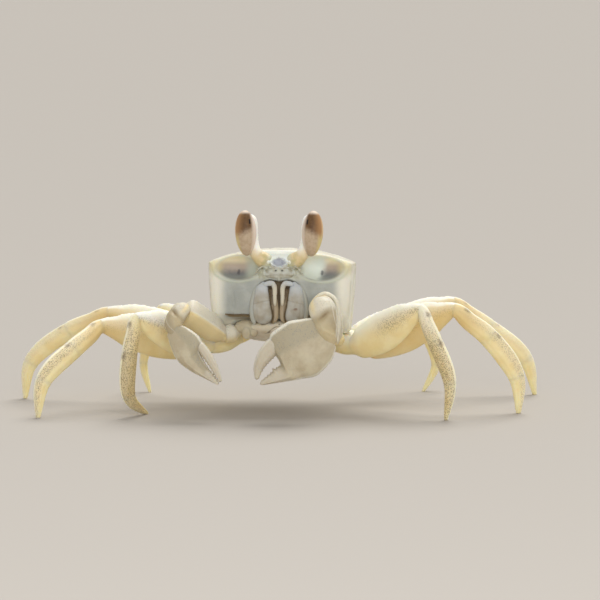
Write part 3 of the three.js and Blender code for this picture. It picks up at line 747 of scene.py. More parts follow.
def sternum_shape():
    """The breastplate, with a furrow between each pair of legs and one along the midline."""
    front, rear = -9.35, 8.6
    s = shares(110, 0.7)
    y = front + (rear - front) * s
    close = domed(s, 0.05, 0.05)
    high = through([(front, -4.5), (-8, -4.2), (-6, -4.4), (5, -4.85), (rear, -3.6)], y)
    low = through([(front, -5.5), (-8, -6.5), (-6, -7.4), (-2, -8.0), (4, -8.0), (rear, -6.4)], y)
    half = through([(front, 3.6), (-8.3, 4.9), (-6, 6.0), (-2, 6.9), (3, 7.0), (7, 5.4), (rear, 3.6)], y)
    thick = (high - low) / 2 * close
    centre = trunk_points(0, y, (high + low) / 2)
    shape = loft(s, centre, TRUNK_UP, TO_LEFT, thick, thick, half * close, 0.8, 64)
    x, y, z = to_trunk(shape.points).T
    wide = np.abs(x)
    below = smoothstep(0.0, -0.4, shape.marks["up"])
    furrow = 0
    for seam in (-5.6, -2.6, 0.5, 3.4, 6.1):
        furrow += bell(y - seam - 0.035 * x * x, 0.16) * smoothstep(1.9, 2.6, wide)
    line = np.where(wide < 2, -4.75 - 0.8 * wide, -6.35 - 0.25 * (wide - 2))
    fork = bell(z - line, 0.14) * smoothstep(-7.6, -8.4, y)
    shape.keep(seam=clamp(clamp(furrow) * below + fork))
    grain = granules(shape.points, 0.5, 21)
    return shape.raised(below * (-0.16 * furrow - 0.1 * bell(wide, 1.5)) - 0.1 * fork + 0.02 * grain)


def abdomen_shape():
    """The tail flap: seven joints, the last ones narrow, folded along the breastplate."""
    path = trunk_path([(0, 10.25, -0.6), (0, 10.9, -3.2), (0, 9.9, -6.4), (0, 6.6, -8.45), (0, 1.5, -8.75),
                       (0, -4.6, -8.5)], 1)
    s = shares(150, 0.85)
    close = domed(s, 0.03, 0.03)
    half = through([(0, 3.6), (0.2, 3.9), (0.45, 2.6), (0.8, 1.6), (1, 0.6)], s) * close
    up = unit(np.cross(path.along(s), TO_LEFT))
    shape = loft(s, path.at(s), up, TO_LEFT, 0.4 * close, 0.4 * close, half, 0.8, 48)
    s, across = shape.read("along", "out")
    seam = 0
    for joint in (0.1, 0.2, 0.32, 0.45, 0.6, 0.78):
        seam += bell(s - joint - 0.008 * across**2, 0.007)
    shape.keep(seam=clamp(seam))
    return shape.raised(0.07 * (1 - np.abs(across)) - 0.13 * seam + 0.02 * granules(shape.points, 0.5, 22))


def epistome_shape():
    """The bar that roofs the mouth, with a small middle tooth that points down."""
    s = shares(120, 0.7)
    x = -3.0 + 6 * s
    close = domed(s, 0.2, 0.2)
    middle = np.maximum(1 - (x / 3) ** 2, 1e-4) ** 0.5
    tooth = 0.45 * bell(x, 0.3)
    shape = loft(s, trunk_points(x, -9.75 + 0.3 * (x / 3) ** 2, 3.4), TRUNK_UP, TRUNK_FORWARD,
                 (0.45 + 0.85 * middle) * close, (0.3 + 0.4 * middle + tooth) * close,
                 (0.2 + 0.68 * middle) * close, 0.85, 40)
    x, _, z = to_trunk(shape.points).T
    wide = np.abs(x)
    facing = smoothstep(0.0, 0.4, shape.marks["out"])
    # sockets of the two folded inner feelers, a furrow under them and a bead beside each
    pit = bell(np.hypot((wide - 0.54) / 1.4, z - 4.16), 0.17)
    furrow = bell(z - 3.45 + 0.12 * wide, 0.11) * smoothstep(2.7, 2.2, wide)
    bead = bell(np.hypot(wide - 1.6, z - 4.1), 0.28)
    shape.keep(wide=wide, pit=pit * facing, furrow=furrow * facing)
    return shape.raised(facing * (-0.22 * pit - 0.05 * furrow + 0.1 * bead))


def feeler_shape(sign):
    """An outer feeler: a bead beside the lobe, two joints below it and a short whip along the socket."""
    knobs = [((1.78, -10.3, 5.5), (0.3, 0.3, 0.34)), ((2.15, -9.8, 4.7), (0.55, 0.4, 0.6)),
             ((2.4, -9.75, 3.7), (0.6, 0.4, 0.7))]
    shapes = [ball(mirrored(middle, sign), radii, 50 + k).keep(bead=k == 0)
              for k, (middle, radii) in enumerate(knobs)]
    path = trunk_path([(2.2, -10.2, 4.6), (2.75, -10.45, 4.75), (3.4, -10.4, 4.3), (4.0, -10.2, 3.5)], sign)
    s = shares(60, 0.8)
    ringed = 1 - 0.12 * np.cos(s * 90)
    radius = through([(0, 0.2), (0.3, 0.15), (1, 0.05)], s) * domed(s, 0.05, 0.05) * ringed
    return joined([*shapes, strip(path, s, BACKWARD, radius, radius, radius, 1, 16)])


def maxilliped_shape(sign):
    """One outer mouthpart: a plate in two joints, its palp and the branches beside and behind them."""
    s = shares(90, 0.6)
    close = domed(s, 0.17, 0.16)
    inner = through(PLATE_MARGIN, s)
    outer = through([(0, 3.1), (0.14, 3.75), (0.35, 4.1), (0.6, 4.35), (0.85, 4.2), (1, 3.4)], s)
    bulge = through([(0, 0.35), (0.2, 0.85), (0.7, 1.05), (1, 0.45)], s)
    centre = trunk_points(sign * (inner + outer) / 2, *plate_line(s))
    plate = loft(s, centre, TRUNK_FORWARD, sign * TO_LEFT, bulge * close, 0.7 * close,
                 (outer - inner) / 2 * close, 0.82, 56)
    s, across, face = plate.read("along", "out", "up")
    seam = bell(s - 0.47 - 0.05 * across, 0.012) * smoothstep(0, 0.3, face)
    long_seam = bell(across - 0.66 + 0.2 * s, 0.06) * smoothstep(0, 0.3, face) * smoothstep(0.45, 0.55, s)
    x, _, z = to_trunk(plate.points).T
    wide_smudge = bell(x - 2.6, 0.75) * bell(z + 2.3, 0.32)
    plate.keep(
        seam=clamp(0.5 * seam + 0.25 * long_seam),
        inner=clamp(smoothstep(-0.78, -1.0, across) + bell(s - 0.985, 0.02)),
        smudge=0.55 * wide_smudge + 0.7 * bell(x - 2.9, 0.22) * bell(z + 2.15, 0.18),
        top=smoothstep(0.42, 0.1, s),
    )
    plate.raised(-0.06 * seam - 0.05 * long_seam + 0.012 * granules(plate.points, 0.45, 31))
    return joined([plate, palp_shape(sign), inner_branch(sign), outer_branch(sign)])


def plate_line(s):
    """Where a mouth plate's middle runs in the trunk's frame, back and up, at shares of its way down."""
    return -10.05 + 0.45 * s, 2.3 - 7.2 * s


def palp_shape(sign):
    """The palp bends over the plate's top and hangs beside the midline."""
    path = trunk_path([(2.5, -10.3, 1.7), (1.7, -10.5, 2.0), (1.0, -10.55, 1.95), (0.68, -10.55, 1.35),
                       (0.64, -10.5, -0.2), (0.6, -10.45, -1.7)], sign)
    s = shares(90, 0.7)
    close = domed(s, 0.05, 0.12)
    joint = 1 - 0.14 * bell(s - 0.34, 0.02) - 0.12 * bell(s - 0.68, 0.02)
    wide = through([(0, 0.35), (0.25, 0.45), (0.45, 0.4), (0.75, 0.34), (1, 0.24)], s) * close * joint
    palp = strip(path, s, TRUNK_FORWARD, 0.3 * close, 0.3 * close, wide, 1, 24)
    s = palp.marks["along"]
    return palp.keep(palp=smoothstep(0.1, 0.5, s), top=smoothstep(0.6, 0.2, s))


def inner_branch(sign):
    """The softer inner mouthpart, which closes the gap behind the palp down to the breastplate."""
    s = shares(70, 0.7)
    close = domed(s, 0.12, 0.1)
    inner = through([(0, 0.3), (0.5, 0.12), (0.62, 0.06), (0.8, 0.1), (1, 0.5)], s)
    outer = through([(0, 1.9), (0.5, 1.8), (1, 1.6)], s)
    centre = trunk_points(sign * (inner + outer) / 2, -9.85 + 0.1 * s + 0.3, 1.1 - 5.7 * s)
    slab = loft(s, centre, TRUNK_FORWARD, sign * TO_LEFT, 0.42 * close, 0.3 * close,
                (outer - inner) / 2 * close, 0.8, 36)
    s, across = slab.read("along", "out")
    fold = bell(across + 0.35 - 0.5 * s, 0.12)
    slab.keep(within=1, fold=clamp(fold + smoothstep(0.45, 0.2, s)))
    return slab.raised(-0.08 * fold + 0.02 * granules(slab.points, 0.3, 35))


def outer_branch(sign):
    """The slim branch that fills the side of the mouth frame."""
    path = trunk_path([(3.1, -9.7, 2.0), (3.8, -9.75, 1.1), (4.25, -9.8, -0.5), (4.45, -9.8, -2.6),
                       (4.0, -9.6, -4.9)], sign)
    s = shares(70, 0.7)
    close = domed(s, 0.1, 0.1)
    half = through([(0, 0.28), (0.4, 0.42), (0.8, 0.46), (1, 0.3)], s) * close
    branch = strip(path, s, TRUNK_FORWARD, 0.42 * close, 0.6 * close, half, 0.85, 28)
    return branch.keep(branch=1).raised(0.01 * granules(branch.points, 0.35, 33))


# ---------------------------------------------------------------- setae

HAIR_PATCH = 0.0015  # half the width of a hair's patch on the bake map
HAIR_SIDES = 3
HAIR_RINGS = [(0.0, 1.0), (0.4, 0.8), (0.75, 0.5)]  # shares of the length, and of the root's girth there
DROOP = [0.0, 0.0, 0.35]  # how far a tip hangs down, as a share of its length
HAIRS = 420  # in each fringe


def trunk_unwrap(x, y, z):
    """Round the trunk from the back, and up."""
    return np.stack([np.arctan2(x, -y) / (2 * np.pi) + 0.5, (z + 9) / 18], axis=-1)


def setae(place, aims, lengths, radius):
    """Stiff hairs rooted at a place (x, y, z) in the trunk's frame, each a solid bent spike to a point."""
    roots, bake = trunk_points(*place), trunk_unwrap(*place)
    count = len(roots)
    aims = unit(aims)
    side = unit(np.cross(aims, [0.0, 0.3, 1.0]))
    up = np.cross(side, aims)
    points, patch, along = [], [], []
    for share, girth in HAIR_RINGS:
        middle = roots + aims * (lengths * share)[:, None] - DROOP * (lengths * share**2)[:, None]
        for turn in 2 * np.pi * np.arange(HAIR_SIDES) / HAIR_SIDES:
            points.append(middle + radius * girth * (side * np.cos(turn) + up * np.sin(turn)))
            patch.append(bake + HAIR_PATCH * (1 - share) * np.array([np.cos(turn), np.sin(turn)]))
            along.append(np.full(count, share))
    points.append(roots + aims * lengths[:, None] - DROOP * lengths[:, None])
    patch.append(bake)
    along.append(np.ones(count))
    first = np.arange(count)[:, None, None] * len(points)
    ring = [(k, (k + 1) % HAIR_SIDES) for k in range(HAIR_SIDES)]
    quads = [[low + a, low + b, low + 3 + b, low + 3 + a] for low in (0, 3) for a, b in ring]
    ends = [[6 + a, 6 + b, 9] for a, b in ring] + [[2, 1, 0]]
    faces = [(first + np.array(quads)).reshape(-1, 4), (first + np.array(ends)).reshape(-1, 3)]
    points = np.stack(points, axis=1).reshape(-1, 3)
    bake = np.stack(patch, axis=1).reshape(-1, 2)
    return Shape(points, faces, bake, along=np.stack(along, axis=1).ravel()).outward()


def cheek_setae(sign, chance):
    """The brown fringe that hangs from the crease under each cheek."""
    x = chance.uniform(4.9, 9.0, HAIRS)
    z = -3.2 + 0.04 * np.sin(x * 2.3) + chance.normal(0, 0.05, HAIRS)
    aims = np.array([sign * 0.1, -0.42, -1.0]) + chance.normal(0, 0.3, (HAIRS, 3)) * [1, 0.4, 0.4]
    lengths = chance.uniform(0.12, 0.3, HAIRS) * smoothstep(9.2, 8.0, x) + 0.1
    return setae((sign * x, face_plane(x, z) + 0.02, z), aims, lengths, 0.026)


def mouth_setae(sign, chance):
    """The fringe along the inner margin of each mouth plate."""
    s = chance.uniform(0.16, 0.93, HAIRS)
    y, z = plate_line(s)
    y = y - 0.4 + chance.normal(0, 0.12, HAIRS)
    aims = np.array([-sign * 1.0, -0.5, -0.6]) + chance.normal(0, 0.25, (HAIRS, 3))
    lengths = chance.uniform(0.2, 0.42, HAIRS)
    return setae((sign * (through(PLATE_MARGIN, s) + 0.1), y, z), aims, lengths, 0.022)


# ---------------------------------------------------------------- eyes


def eye_shape(sign):
    bottom, top = mirrored(EYE["bottom"], sign), mirrored(EYE["top"], sign)
    s = pole_to_pole(100, 0.01)
    t = 2 * s - 1
    radius = EYE["radius"] * np.sqrt(np.maximum(1e-4, 1 - t * t)) * (1 + 0.13 * t * (1 - s))
    centre = bottom + (top - bottom) * s[:, None]
    shape = loft(s, centre, *straight_frame(bottom, top), radius, radius, radius, 1, 72)
    normal = shape.normals()
    return shape.keep(outer=normal[:, 0] * sign, facing=-normal[:, 1], rise=shape.marks["along"])


def stalk_path(sign):
    inside = (1.2, -8.4, 5.3)
    beside_eye = [(3.75, -9.2, 26.5), (4.4, -8.85, 28.5), (4.7, -8.6, 31.0), (5.15, -8.75, 33.05)]
    start = from_trunk(mirrored([inside, EYE["foot"]], sign))
    return Path([*start, *mirrored(beside_eye, sign)])


def eyestalk_shape(sign):
    """The stalk leaves the front, bends up and runs behind the inner side of the eye nearly to its top."""
    path = stalk_path(sign)
    s = shares(110, 0.7)
    along = path.along(s)
    up = unit(np.cross(along, sign * TO_LEFT))
    stops = [(0, 1.3), (0.15, 1.35), (0.3, 1.12), (0.45, 0.92), (0.68, 1.0), (0.86, 1.14), (1, 0.95)]
    ringed = 1 - 0.05 * bell(s - 0.3, 0.012)
    radius = through(stops, s) * domed(s, 0.04, 0.1) * ringed
    shape = loft(s, path.at(s), up, unit(np.cross(up, along)), radius, radius, radius, 1, 48)
    shape.keep(outer=shape.normals()[:, 0] * sign)
    return shape.raised(0.015 * granules(shape.points, 0.4, 41))


# ---------------------------------------------------------------- walking legs


def direction(sign, heading, pitch):
    h, p = np.radians(heading), np.radians(pitch)
    return np.array([sign * np.cos(p) * np.cos(h), -np.cos(p) * np.sin(h), np.sin(p)])


def leg_joints(sign, index, pose):
    """A walking leg's joints, from its root on the trunk to its tip on the floor."""
    merus_heading, shank_heading, *pitches = pose
    lengths = LEG_LENGTHS[index]
    x, y = LEG_ROOTS[index]
    root = from_trunk((sign * x, y, LEG_ROOT_Z))
    hip = root + direction(sign, merus_heading, LEG_BASE_PITCH) * lengths["base"]
    below = hip[2] + sum(lengths[n] * np.sin(np.radians(p)) for n, p in zip(SEGMENTS[2:], pitches))
    rise = np.degrees(np.arcsin(-below / lengths["merus"]))
    joints = [root, hip, hip + direction(sign, merus_heading, rise) * lengths["merus"]]
    for name, pitch in zip(SEGMENTS[2:], pitches):
        joints.append(joints[-1] + direction(sign, shank_heading, pitch) * lengths[name])
    joints[-1] = joints[-1] + unit(joints[-1] - joints[-2]) * FOOT_SINK
    return joints


class Leg:
    """A leg's middle line, rounded at the knee, and its section. 0 is its root, 1 hip, 2 knee, 5 tip."""

    def __init__(self, sign, index, pose):
        root, hip, knee, ankle, heel, tip = leg_joints(sign, index, pose)
        before = knee + (hip - knee) * 0.16
        beyond = knee + (ankle - knee) * 0.42
        self.path = Path([root, hip, before, knee, beyond, ankle, heel, tip])
        self.joints = self.path.stops[[0, 1, 3, 5, 6, 7]]
        facing = (pose[0], min(pose[1], STEEPEST_FACING))
        self.sides = [unit(np.cross(direction(sign, heading, 0), UPRIGHT)) for heading in facing]

        def stops(upper, lower):
            parts = ((upper, LEG_DEPTH[index]), (lower, SHANK_DEPTH[index]))
            return [(at, share * depth) for part, depth in parts for at, share in part]

        self.rise = stops(
            [(0, 0.2), (0.5, 0.26), (1, 0.25), (1.14, 0.4), (1.45, 0.5), (1.74, 0.42), (1.92, 0.25)],
            [(2, 0.38), (2.3, 0.44), (3, 0.5), (3.5, 0.52), (4, 0.43), (4.35, 0.34), (4.75, 0.2), (5, 0.1)])
        self.drop = stops(
            [(0, 0.2), (0.5, 0.26), (1, 0.24), (1.12, 0.4), (1.45, 0.5), (1.74, 0.38), (1.92, 0.2)],
            [(2, 0.34), (2.3, 0.4), (3, 0.47), (3.5, 0.48), (4, 0.4), (4.35, 0.33), (4.75, 0.2), (5, 0.1)])
        self.half = stops(
            [(0, 0.2), (0.6, 0.22), (1, 0.17), (1.15, 0.21), (1.5, 0.22), (1.85, 0.18)],
            [(2, 0.33), (2.3, 0.36), (3, 0.34), (3.4, 0.33), (4, 0.26), (4.4, 0.22), (5, 0.1)])

    def side(self, u, along):
        turned = smoothstep(1.8, 2.3, u)[:, None]
        side = self.sides[0] * (1 - turned) + self.sides[1] * turned
        return unit(side - along * np.sum(side * along, axis=1, keepdims=True))


def leg_segment(leg, step, seed):
    """One joint of a walking leg: a stretch of the leg's own line, with the keels and grain of its kind."""
    name = SEGMENTS[step]
    last = name == "dactyl"
    total = leg.path.length
    start = leg.joints[step] - (TUCK / total if step else 0)
    end = leg.joints[step + 1] + (0 if last else TUCK / total)
    local = shares({"base": 40, "merus": 96}.get(name, 72), 0.7)
    at = start + (end - start) * local
    u = np.interp(at, leg.joints, np.arange(6.0))
    length = (end - start) * total
    close = domed(local, 0.3 / length, (0.5 if last else 0.1) / length)
    if step:
        close = close * (1 - 0.1 * smoothstep(0.1, -TUCK, (at - leg.joints[step]) * total))
    if not last:
        close = close * (1 - 0.1 * smoothstep(-0.1, TUCK, (at - leg.joints[step + 1]) * total))
    along = leg.path.along(at)
    side = leg.side(u, along)
    rise, drop, half = (through(stops, u) * close for stops in (leg.rise, leg.drop, leg.half))
    power = 1.12 if name == "merus" else 1.04
    shape = loft(local, leg.path.at(at), unit(np.cross(side, along)), side, rise, drop, half, power, 44)
    shape.keep(along=clamp(np.interp(shape.marks["along"], local, u) - step))
    s, height = shape.read("along", "up")
    middle = smoothstep(0.02, 0.1, s) * smoothstep(1.0, 0.92, s)
    relief = 0.02 * granules(shape.points, 0.42, seed)
    if name == "merus":
        relief += middle * bell(height - 1, 0.1) * 0.09 * (0.5 + granules(shape.points, 0.55, seed + 1))
        relief += middle * 0.016 * (height + 1) ** 2 * granules(shape.points, 0.6, seed + 2)
        relief -= 0.03 * bell(s - 0.95 + 0.02 * height, 0.009)
    if name in ("carpus", "propodus"):
        for level in (0.42, -0.3):
            relief += middle * (0.05 * bell(height - level, 0.1) - 0.03 * bell(height - level + 0.25, 0.1))
        relief += 0.03 * middle * bell(height - 1, 0.15)
    if last:
        relief += 0.045 * middle * np.cos(3 * np.pi * height) * smoothstep(0, 0.15, s) * smoothstep(1, 0.6, s)
    shape.keep(edge=bell(height - 1, 0.35 if name == "merus" else 0.14) * (name != "base"))
    shape.raised(relief)
    if last:
        shape.points[:, 2] = np.maximum(shape.points[:, 2], 0.0)
    return shape


def joint_skin(before, joint, after, radius, seed):
    """The soft skin inside a joint of a claw limb: a short sleeve bent round it."""
    near, far = (joint + unit(end - joint) * radius * 1.2 for end in (before, after))
    s = shares(26, 0.7)
    folded = 1 - 0.04 * np.cos(s * 40)
    radii = radius * (domed(s, 0.3, 0.3) * folded)
    skin = strip(Path([near, joint, far]), s, UPRIGHT, radii, radii, radii, 1, 32)
    return skin.keep(ochre=1).raised(0.02 * granules(skin.points, 0.4, seed))


def ball(middle, radii, seed):
    """A rounded knob given in the trunk's frame."""
    s = pole_to_pole(30, 0.02)
    t = 2 * s - 1
    ring = np.sqrt(1 - t * t)
    x, y, z = middle
    across, ahead, tall = radii
    shape = loft(s, trunk_points(x + across * t, y, z), TRUNK_UP, TRUNK_FORWARD, tall * ring, tall * ring,
                 ahead * ring, 1, 36)
    return shape.raised(0.02 * granules(shape.points, 0.4, seed))


# ---------------------------------------------------------------- claws


def claw_arm_segment(name, a, b, claw, sign, seed):
    """Base or merus of a claw limb. The merus is four-sided, with grained keels."""
    is_merus = name == "merus"
    s = shares(90, 0.6)
    close = domed(s, 0.07, 0.1, 2.2)
    rise, drop, half = (through(CLAW_ARM[name][key], s) * claw["merus"] for key in ("rise", "drop", "half"))
    half = half * through(claw["merus_width"], s)
    centre = a + (b - a) * s[:, None]
    power = 1.4 if is_merus else 1.0
    shape = loft(s, centre, *straight_frame(a, b), rise * close, drop * close, half * close, power, 84)
    s, height, across = shape.read("along", "up", "out")
    middle = smoothstep(0.03, 0.15, s) * smoothstep(1.0, 0.85, s)
    keel = (bell(height - 1, 0.1) + bell(np.abs(across) - 1, 0.06)) * is_merus
    relief = 0.03 * granules(shape.points, 0.42, seed) * smoothstep(-0.3, 0.4, height)
    relief += middle * keel * 0.07 * (0.4 + granules(shape.points, 0.4, seed + 2))
    # white with painted highlight on the upward faces and the crusher's outer face; warm painted shade below
    facet = smoothstep(-0.06, 0.12, height) if is_merus else smoothstep(-0.9, 0.0, height)
    outer = smoothstep(0.1, 0.5, -sign * across) if sign > 0 else 0
    bloom = np.maximum(facet, outer)
    return shape.keep(edge=clamp(keel) * middle, bloom=bloom, ochre=1 - bloom).raised(relief)


def carpus_shape(sign, claw, seed):
    """The rounded joint before the palm, a ridge down its outer side, and the raised rims that it sits in."""
    s = shares(100, 0.6)
    half = through(claw["carpus_half"], s) * domed(s, 0.26, 0.1)
    shape = strip(Path(claw["carpus"]), s, UPRIGHT, half * 0.9, half * 0.8, half, 1.08, 90)
    s, height, outward = shape.read("along", "up", "out")
    outward = -sign * outward
    middle = smoothstep(0.05, 0.2, s) * smoothstep(1.0, 0.85, s)
    facing = smoothstep(-0.3, 0.2, height)
    ridge = bell(outward - 0.6 + 0.5 * (s - 0.5) ** 2, 0.07) * facing * middle
    fold_at = s - 0.43 + 0.1 * outward
    fold = bell(fold_at, 0.05) * bell(outward + 0.2, 0.5) * facing
    relief = 0.12 * ridge - 0.34 * fold + 0.06 * granules(shape.points, 0.38, seed) * facing
    relief -= 0.1 * bell(s - 0.9 + 0.03 * outward, 0.02)
    relief += 0.3 * bell(outward + 0.78, 0.2) * bell(s - 0.68, 0.08) * bell(height - 0.4, 0.3)
    inner_crease = bell(outward + 0.8, 0.14) * smoothstep(0.5, 0.25, s) * smoothstep(0.02, 0.12, s)
    inner = smoothstep(0.25, -0.5, outward) * smoothstep(0.4, 0.7, s)
    shape.keep(
        edge=0.7 * clamp(ridge),
        # the upper head white, with painted highlight
        bloom=smoothstep(0.44, 0.3, s + 0.08 * outward) * facing * (1 if sign > 0 else 0.85),
        crease=bell(fold_at, 0.025) * bell(outward + 0.2, 0.5) * facing,
        # ochre on the joint line near the top; warm painted shade on the lower inner side
        ochre=clamp(0.9 * inner_crease + 0.3 * inner),
        # painted shade: half over the whole joint, full in the fold
        shade=clamp(0.5 + 0.1 * (sign < 0) + fold),
    )
    shape.raised(relief)
    return joined([shape, *(rim_shape(*rim, seed + 5) for rim in claw["rims"])])


def rim_shape(radius, points, seed):
    """A raised rim: a slim roll along a curve, thinner at its ends."""
    s = shares(90, 0.8)
    girth = radius * through([(0, 0.5), (0.25, 1), (0.75, 1), (1, 0.6)], s) * domed(s, 0.04, 0.04)
    roll = strip(Path(points), s, BACKWARD, girth * 1.6, girth * 1.6, girth, 1, 28)
    # rims white with painted highlight, ochre where they start
    roll.keep(bloom=1, ochre=0.7 * smoothstep(0.3, 0.12, roll.marks["along"]))
    return roll.raised(0.03 * granules(roll.points, 0.36, seed))


def claw_root(sign):
    """The folds of the claw limb's first joint, between the cheek and the breastplate."""
    # each knob's last number is its share of painted shade
    knobs = [((5.3, -7.7, -5.3), (2.2, 0.9, 1.2), 0.1), ((5.5, -8.2, -6.1), (0.75, 0.5, 1.25), 0.0),
             ((4.3, -8.1, -5.9), (0.7, 0.5, 1.1), 0.15)]
    return joined([ball(mirrored(middle, sign), radii, 330).keep(shade=shade)
                   for middle, radii, shade in knobs])


def claw_frame(sign, claw):
    wrist, tip = np.array(claw["wrist"]), np.array(claw["tip"])
    along = unit(tip - wrist)
    out = unit(np.array([0.0, -1.0, 0.0]) + along * along[1])
    return wrist, tip, out, unit(np.cross(along, out)) * sign


def palm_shape(sign, claw, seed):
    """The deep flat palm, whose lower margin runs on into the fixed finger with its row of teeth."""
    wrist, tip, out, up = claw_frame(sign, claw)
    s = shares(170, 0.8)
    high, low = through(claw["back"], s), through(claw["belly"], s)
    close = domed(s, 0.045, 0.02)
    half = through([(0, 0.3), (0.2, 0.43), (0.4, 0.5), (0.6, 0.38), (1, 0.1)], s) * claw["thickness"] * close
    tall = (high - low) / 2 * close
    centre = wrist + (tip - wrist) * s[:, None] + up * ((high + low) / 2)[:, None]
    shape = loft(s, centre, up, out, tall, tall, half, 0.86, 96)
    s, height, across = shape.read("along", "up", "out")
    fork = claw["fork"]
    finger = smoothstep(fork, fork + 0.06, s)
    body = 1 - finger
    teeth = np.maximum(np.sin(2 * np.pi * (s - fork) / 0.046), 0) * bell(height - 1, 0.3) * finger
    big = bell(s - fork - 0.1, 0.016) * bell(height - 1, 0.3)
    margin = bell(height - 1, 0.12) * body + bell(height + 1, 0.1)
    toward_edges = 0.35 + 0.65 * smoothstep(-0.1, 0.9, np.abs(height))
    relief = 0.025 * granules(shape.points, 0.36, seed) * toward_edges
    relief += 0.025 * granules(shape.points, 0.28, seed + 1) * smoothstep(0.1, 0.8, height) * body
    relief += 0.05 * margin * (0.3 + granules(shape.points, 0.36, seed + 2)) * smoothstep(0.03, 0.1, s)
    relief += (0.16 * teeth + 0.3 * big) * smoothstep(1.0, 0.93, s)
    # a low crest along the outer face; a ridge below the darker upper strip, partly painted carpus shadow
    outer = smoothstep(0, 0.2, across)
    relief += 0.08 * bell(height + 0.52, 0.1) * outer * smoothstep(0.1, 0.4, s)
    ridge_at = 0.16 + 0.25 * (s - 0.3)
    relief += 0.05 * bell(height - ridge_at, 0.07) * body * outer * smoothstep(0.04, 0.15, s)
    band = smoothstep(ridge_at - 0.12, ridge_at + 0.1, height) * body
    return shape.keep(band=band, edge=clamp(margin), finger=finger).raised(relief)


def finger_shape(sign, claw, seed):
    """The movable finger, closing from above, with its own row of teeth along the lower edge."""
    wrist, tip, out, up = claw_frame(sign, claw)
    path = Path([wrist + (tip - wrist) * share + up * height for share, height in claw["finger"]])
    s = shares(130, 0.8)
    close = domed(s, 0.14, 0.04)
    depth = through(claw["finger_depth"], s) * close
    half = through([(0, 0.32), (0.4, 0.3), (1, 0.1)], s) * claw["thickness"] * close
    across = unit(np.cross(path.along(s), out))
    shape = loft(s, path.at(s), across, out, depth, depth, half, 0.92, 56)
    s, height = shape.read("along", "up")
    inner = -np.sign(np.dot(across[len(across) // 2], up))
    teeth = np.maximum(np.sin(2 * np.pi * s / 0.085), 0) * bell(height - inner, 0.3)
    teeth = teeth * smoothstep(0.2, 0.35, s) * smoothstep(1, 0.9, s)
    relief = 0.02 * granules(shape.points, 0.42, seed) + 0.12 * teeth
    relief += 0.04 * bell(height + inner, 0.2) * (0.3 + granules(shape.points, 0.34, seed + 1))
    relief -= 0.06 * bell(height - 0.15 * inner, 0.16) * smoothstep(0.15, 0.3, s)
    return shape.keep(edge=bell(height + inner, 0.3), finger=1).raised(relief)


# ---------------------------------------------------------------- finishes

SOFT = dict(Subsurface_Weight=0.25, Subsurface_Radius=(1.0, 0.72, 0.42), Subsurface_Scale=0.0007)


